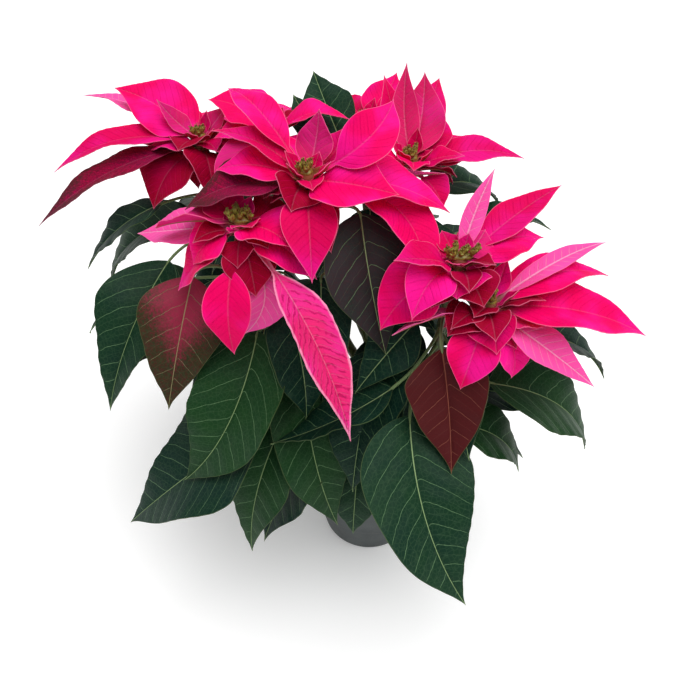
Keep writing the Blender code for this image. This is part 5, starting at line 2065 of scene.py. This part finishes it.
@dataclass(frozen=True)
class Soil:
    """The plug of compost: a lumpy top with loose crumbs and a few white grains of perlite."""

    pot: Pot
    crown: float = 2.5
    hole: float = 6.2
    clearance: float = 0.5
    lump: float = 1.5
    steps: int = 110
    circles: int = 46
    crumbs: int = 190
    perlite: int = 46

    def top(self, radius: float, edge: float) -> float:
        """Height of the smooth top at a radius."""
        share = radius / edge
        return SOIL_LEVEL + self.crown * (1.0 - share ** 2) - 3.0 * max(0.0, share - 0.93) / 0.07

    def plug(self, edge: float) -> Part:
        """The plug, with its top heaved into lumps."""
        low = self.pot.wall + GAP
        profile = [(0.0, low), (self.pot.outer_radius(low) - self.pot.wall - self.clearance, low)]
        profile.append((edge, SOIL_LEVEL - 4.0))
        for i in range(self.circles):
            radius = edge + (self.hole - edge) * i / (self.circles - 1)
            profile.append((radius, self.top(radius, edge)))
        profile += [(self.hole, SOIL_LEVEL - 8.0), (0.0, SOIL_LEVEL - 8.0)]
        part = turned(profile, self.steps)
        for vert in part.verts:
            radius = math.hypot(vert.co.x, vert.co.y) / MM
            if self.hole + 0.5 < radius < edge - 0.5 and vert.co.z > (SOIL_LEVEL - 3.5) * MM:
                heave = noise.fractal(vert.co * per_metre(7.0), 0.6, 2.1, 4)
                vert.co.z += heave * self.lump * MM
        return part

    def crumb(self, draw: random.Random, edge: float, size: float) -> Part:
        """One loose crumb lying on the top, half sunk in it."""
        part = new_part()
        bmesh.ops.create_icosphere(part, subdivisions=2, radius=size * MM)
        shift = Vector((draw.uniform(-9, 9), draw.uniform(-9, 9), draw.uniform(-9, 9)))
        for vert in part.verts:
            vert.co *= 1.0 + 0.32 * noise.noise(vert.co * per_metre(size * 0.8) + shift)
        bmesh.ops.scale(part, vec=(draw.uniform(0.8, 1.4), 1.0, draw.uniform(0.5, 0.8)), verts=part.verts)
        radius = math.sqrt(draw.uniform((self.hole + 4.0) ** 2, (edge - 5.0) ** 2))
        spot = heading(draw.uniform(0, 360)) * radius + UP * (self.top(radius, edge) + 0.1 * size)
        turn = Matrix.Rotation(draw.uniform(0.0, FULL_TURN), 4, "Z")
        bmesh.ops.transform(part, matrix=Matrix.Translation(metres(spot)) @ turn, verts=part.verts)
        return part

    def build(self, palette: Palette) -> None:
        """Make the plug with its crumbs as one piece."""
        edge = self.pot.outer_radius(SOIL_LEVEL - 4.0) - self.pot.wall - self.clearance
        piece = Piece("compost", "peat_soil", "soil", [palette.peat, palette.perlite])
        piece.join(self.plug(edge), palette.peat)
        draw = random.Random("crumbs")
        grains = ((self.crumbs, 0.8, 2.6, palette.peat), (self.perlite, 0.6, 1.5, palette.perlite))
        for count, least, most, finish in grains:
            for _ in range(count):
                piece.join(self.crumb(draw, edge, draw.uniform(least, most)), finish)
        piece.done()


@dataclass(frozen=True)
class Softbox:
    """One broad soft light, so far off that it lights the floor evenly.

    towards points from the plant to the light, spread is how wide the light looks in degrees, and strength
    is what it sends in watts per square metre.
    """

    name: str
    towards: tuple[float, float, float]
    spread: float
    strength: float

    def hang(self) -> None:
        """Add the light, turned to the plant."""
        light = bpy.data.lights.new(self.name, "SUN")
        light.angle = math.radians(self.spread)
        light.energy = self.strength
        turn = (Vector(self.towards) * -1.0).to_track_quat("-Z", "Y")
        placed(self.name, light).matrix_world = Matrix.Translation(self.towards) @ turn.to_matrix().to_4x4()


@dataclass(frozen=True)
class Studio:
    """A white floor, soft light from above and behind, and the camera of the photograph."""

    camera_place: tuple[float, float, float] = (-0.027, -0.380, 0.614)
    camera_pitch: float = 45.0
    lens: float = 38.17
    sensor: float = 36.0
    floor_size: float = 6.0
    world_white: float = 0.42
    lights: tuple[Softbox, ...] = (
        Softbox("key softbox", (0.36, -0.20, 1.25), 58.0, 2.45),
        Softbox("back fill", (-0.3, 0.6, 1.1), 60.0, 0.5),
    )

    def floor(self, palette: Palette) -> None:
        """Lay the paper just under the pot."""
        work = bmesh.new()
        bmesh.ops.create_grid(work, x_segments=1, y_segments=1, size=0.5 * self.floor_size)
        paper = placed("paper", mesh_from(work))
        paper.data.materials.append(palette.paper)
        paper.location.z = -0.2 * MM

    def light(self) -> None:
        """Light the scene evenly from the world, with the softboxes on top."""
        world = bpy.data.worlds.new("white studio")
        world.use_nodes = True
        glow = world.node_tree.nodes["Background"].inputs
        glow["Color"].default_value = (1.0, 1.0, 1.0, 1.0)
        glow["Strength"].default_value = self.world_white
        bpy.context.scene.world = world
        for softbox in self.lights:
            softbox.hang()

    def build(self, palette: Palette) -> None:
        """Set up the floor, the lights and the camera."""
        self.floor(palette)
        self.light()
        lens = bpy.data.cameras.new("camera")
        lens.lens = self.lens
        lens.sensor_width = self.sensor
        camera = placed("camera", lens)
        camera.location = self.camera_place
        camera.rotation_euler = (math.radians(self.camera_pitch), 0.0, 0.0)
        bpy.context.scene.camera = camera
        bpy.context.scene.view_settings.view_transform = "Standard"


def main() -> None:
    """Plan the plant, then make the pot, the soil, the trunk, and each shoot with its bloom."""
    logging.basicConfig(level=logging.INFO, format="%(message)s")
    palette = Palette()
    Studio().build(palette)
    pot = Pot()
    pot.build(palette)
    Soil(pot).build(palette)
    Trunk().build(palette)
    plan = Plan()
    for shoot in SHOOTS:
        LeafyStem(shoot, plan.leaves[shoot.number]).build(palette)
        Bloom(shoot, plan.bracts[shoot.number]).build(palette)
        BudCluster(shoot).build(palette)


if __name__ == "__main__":
    main()
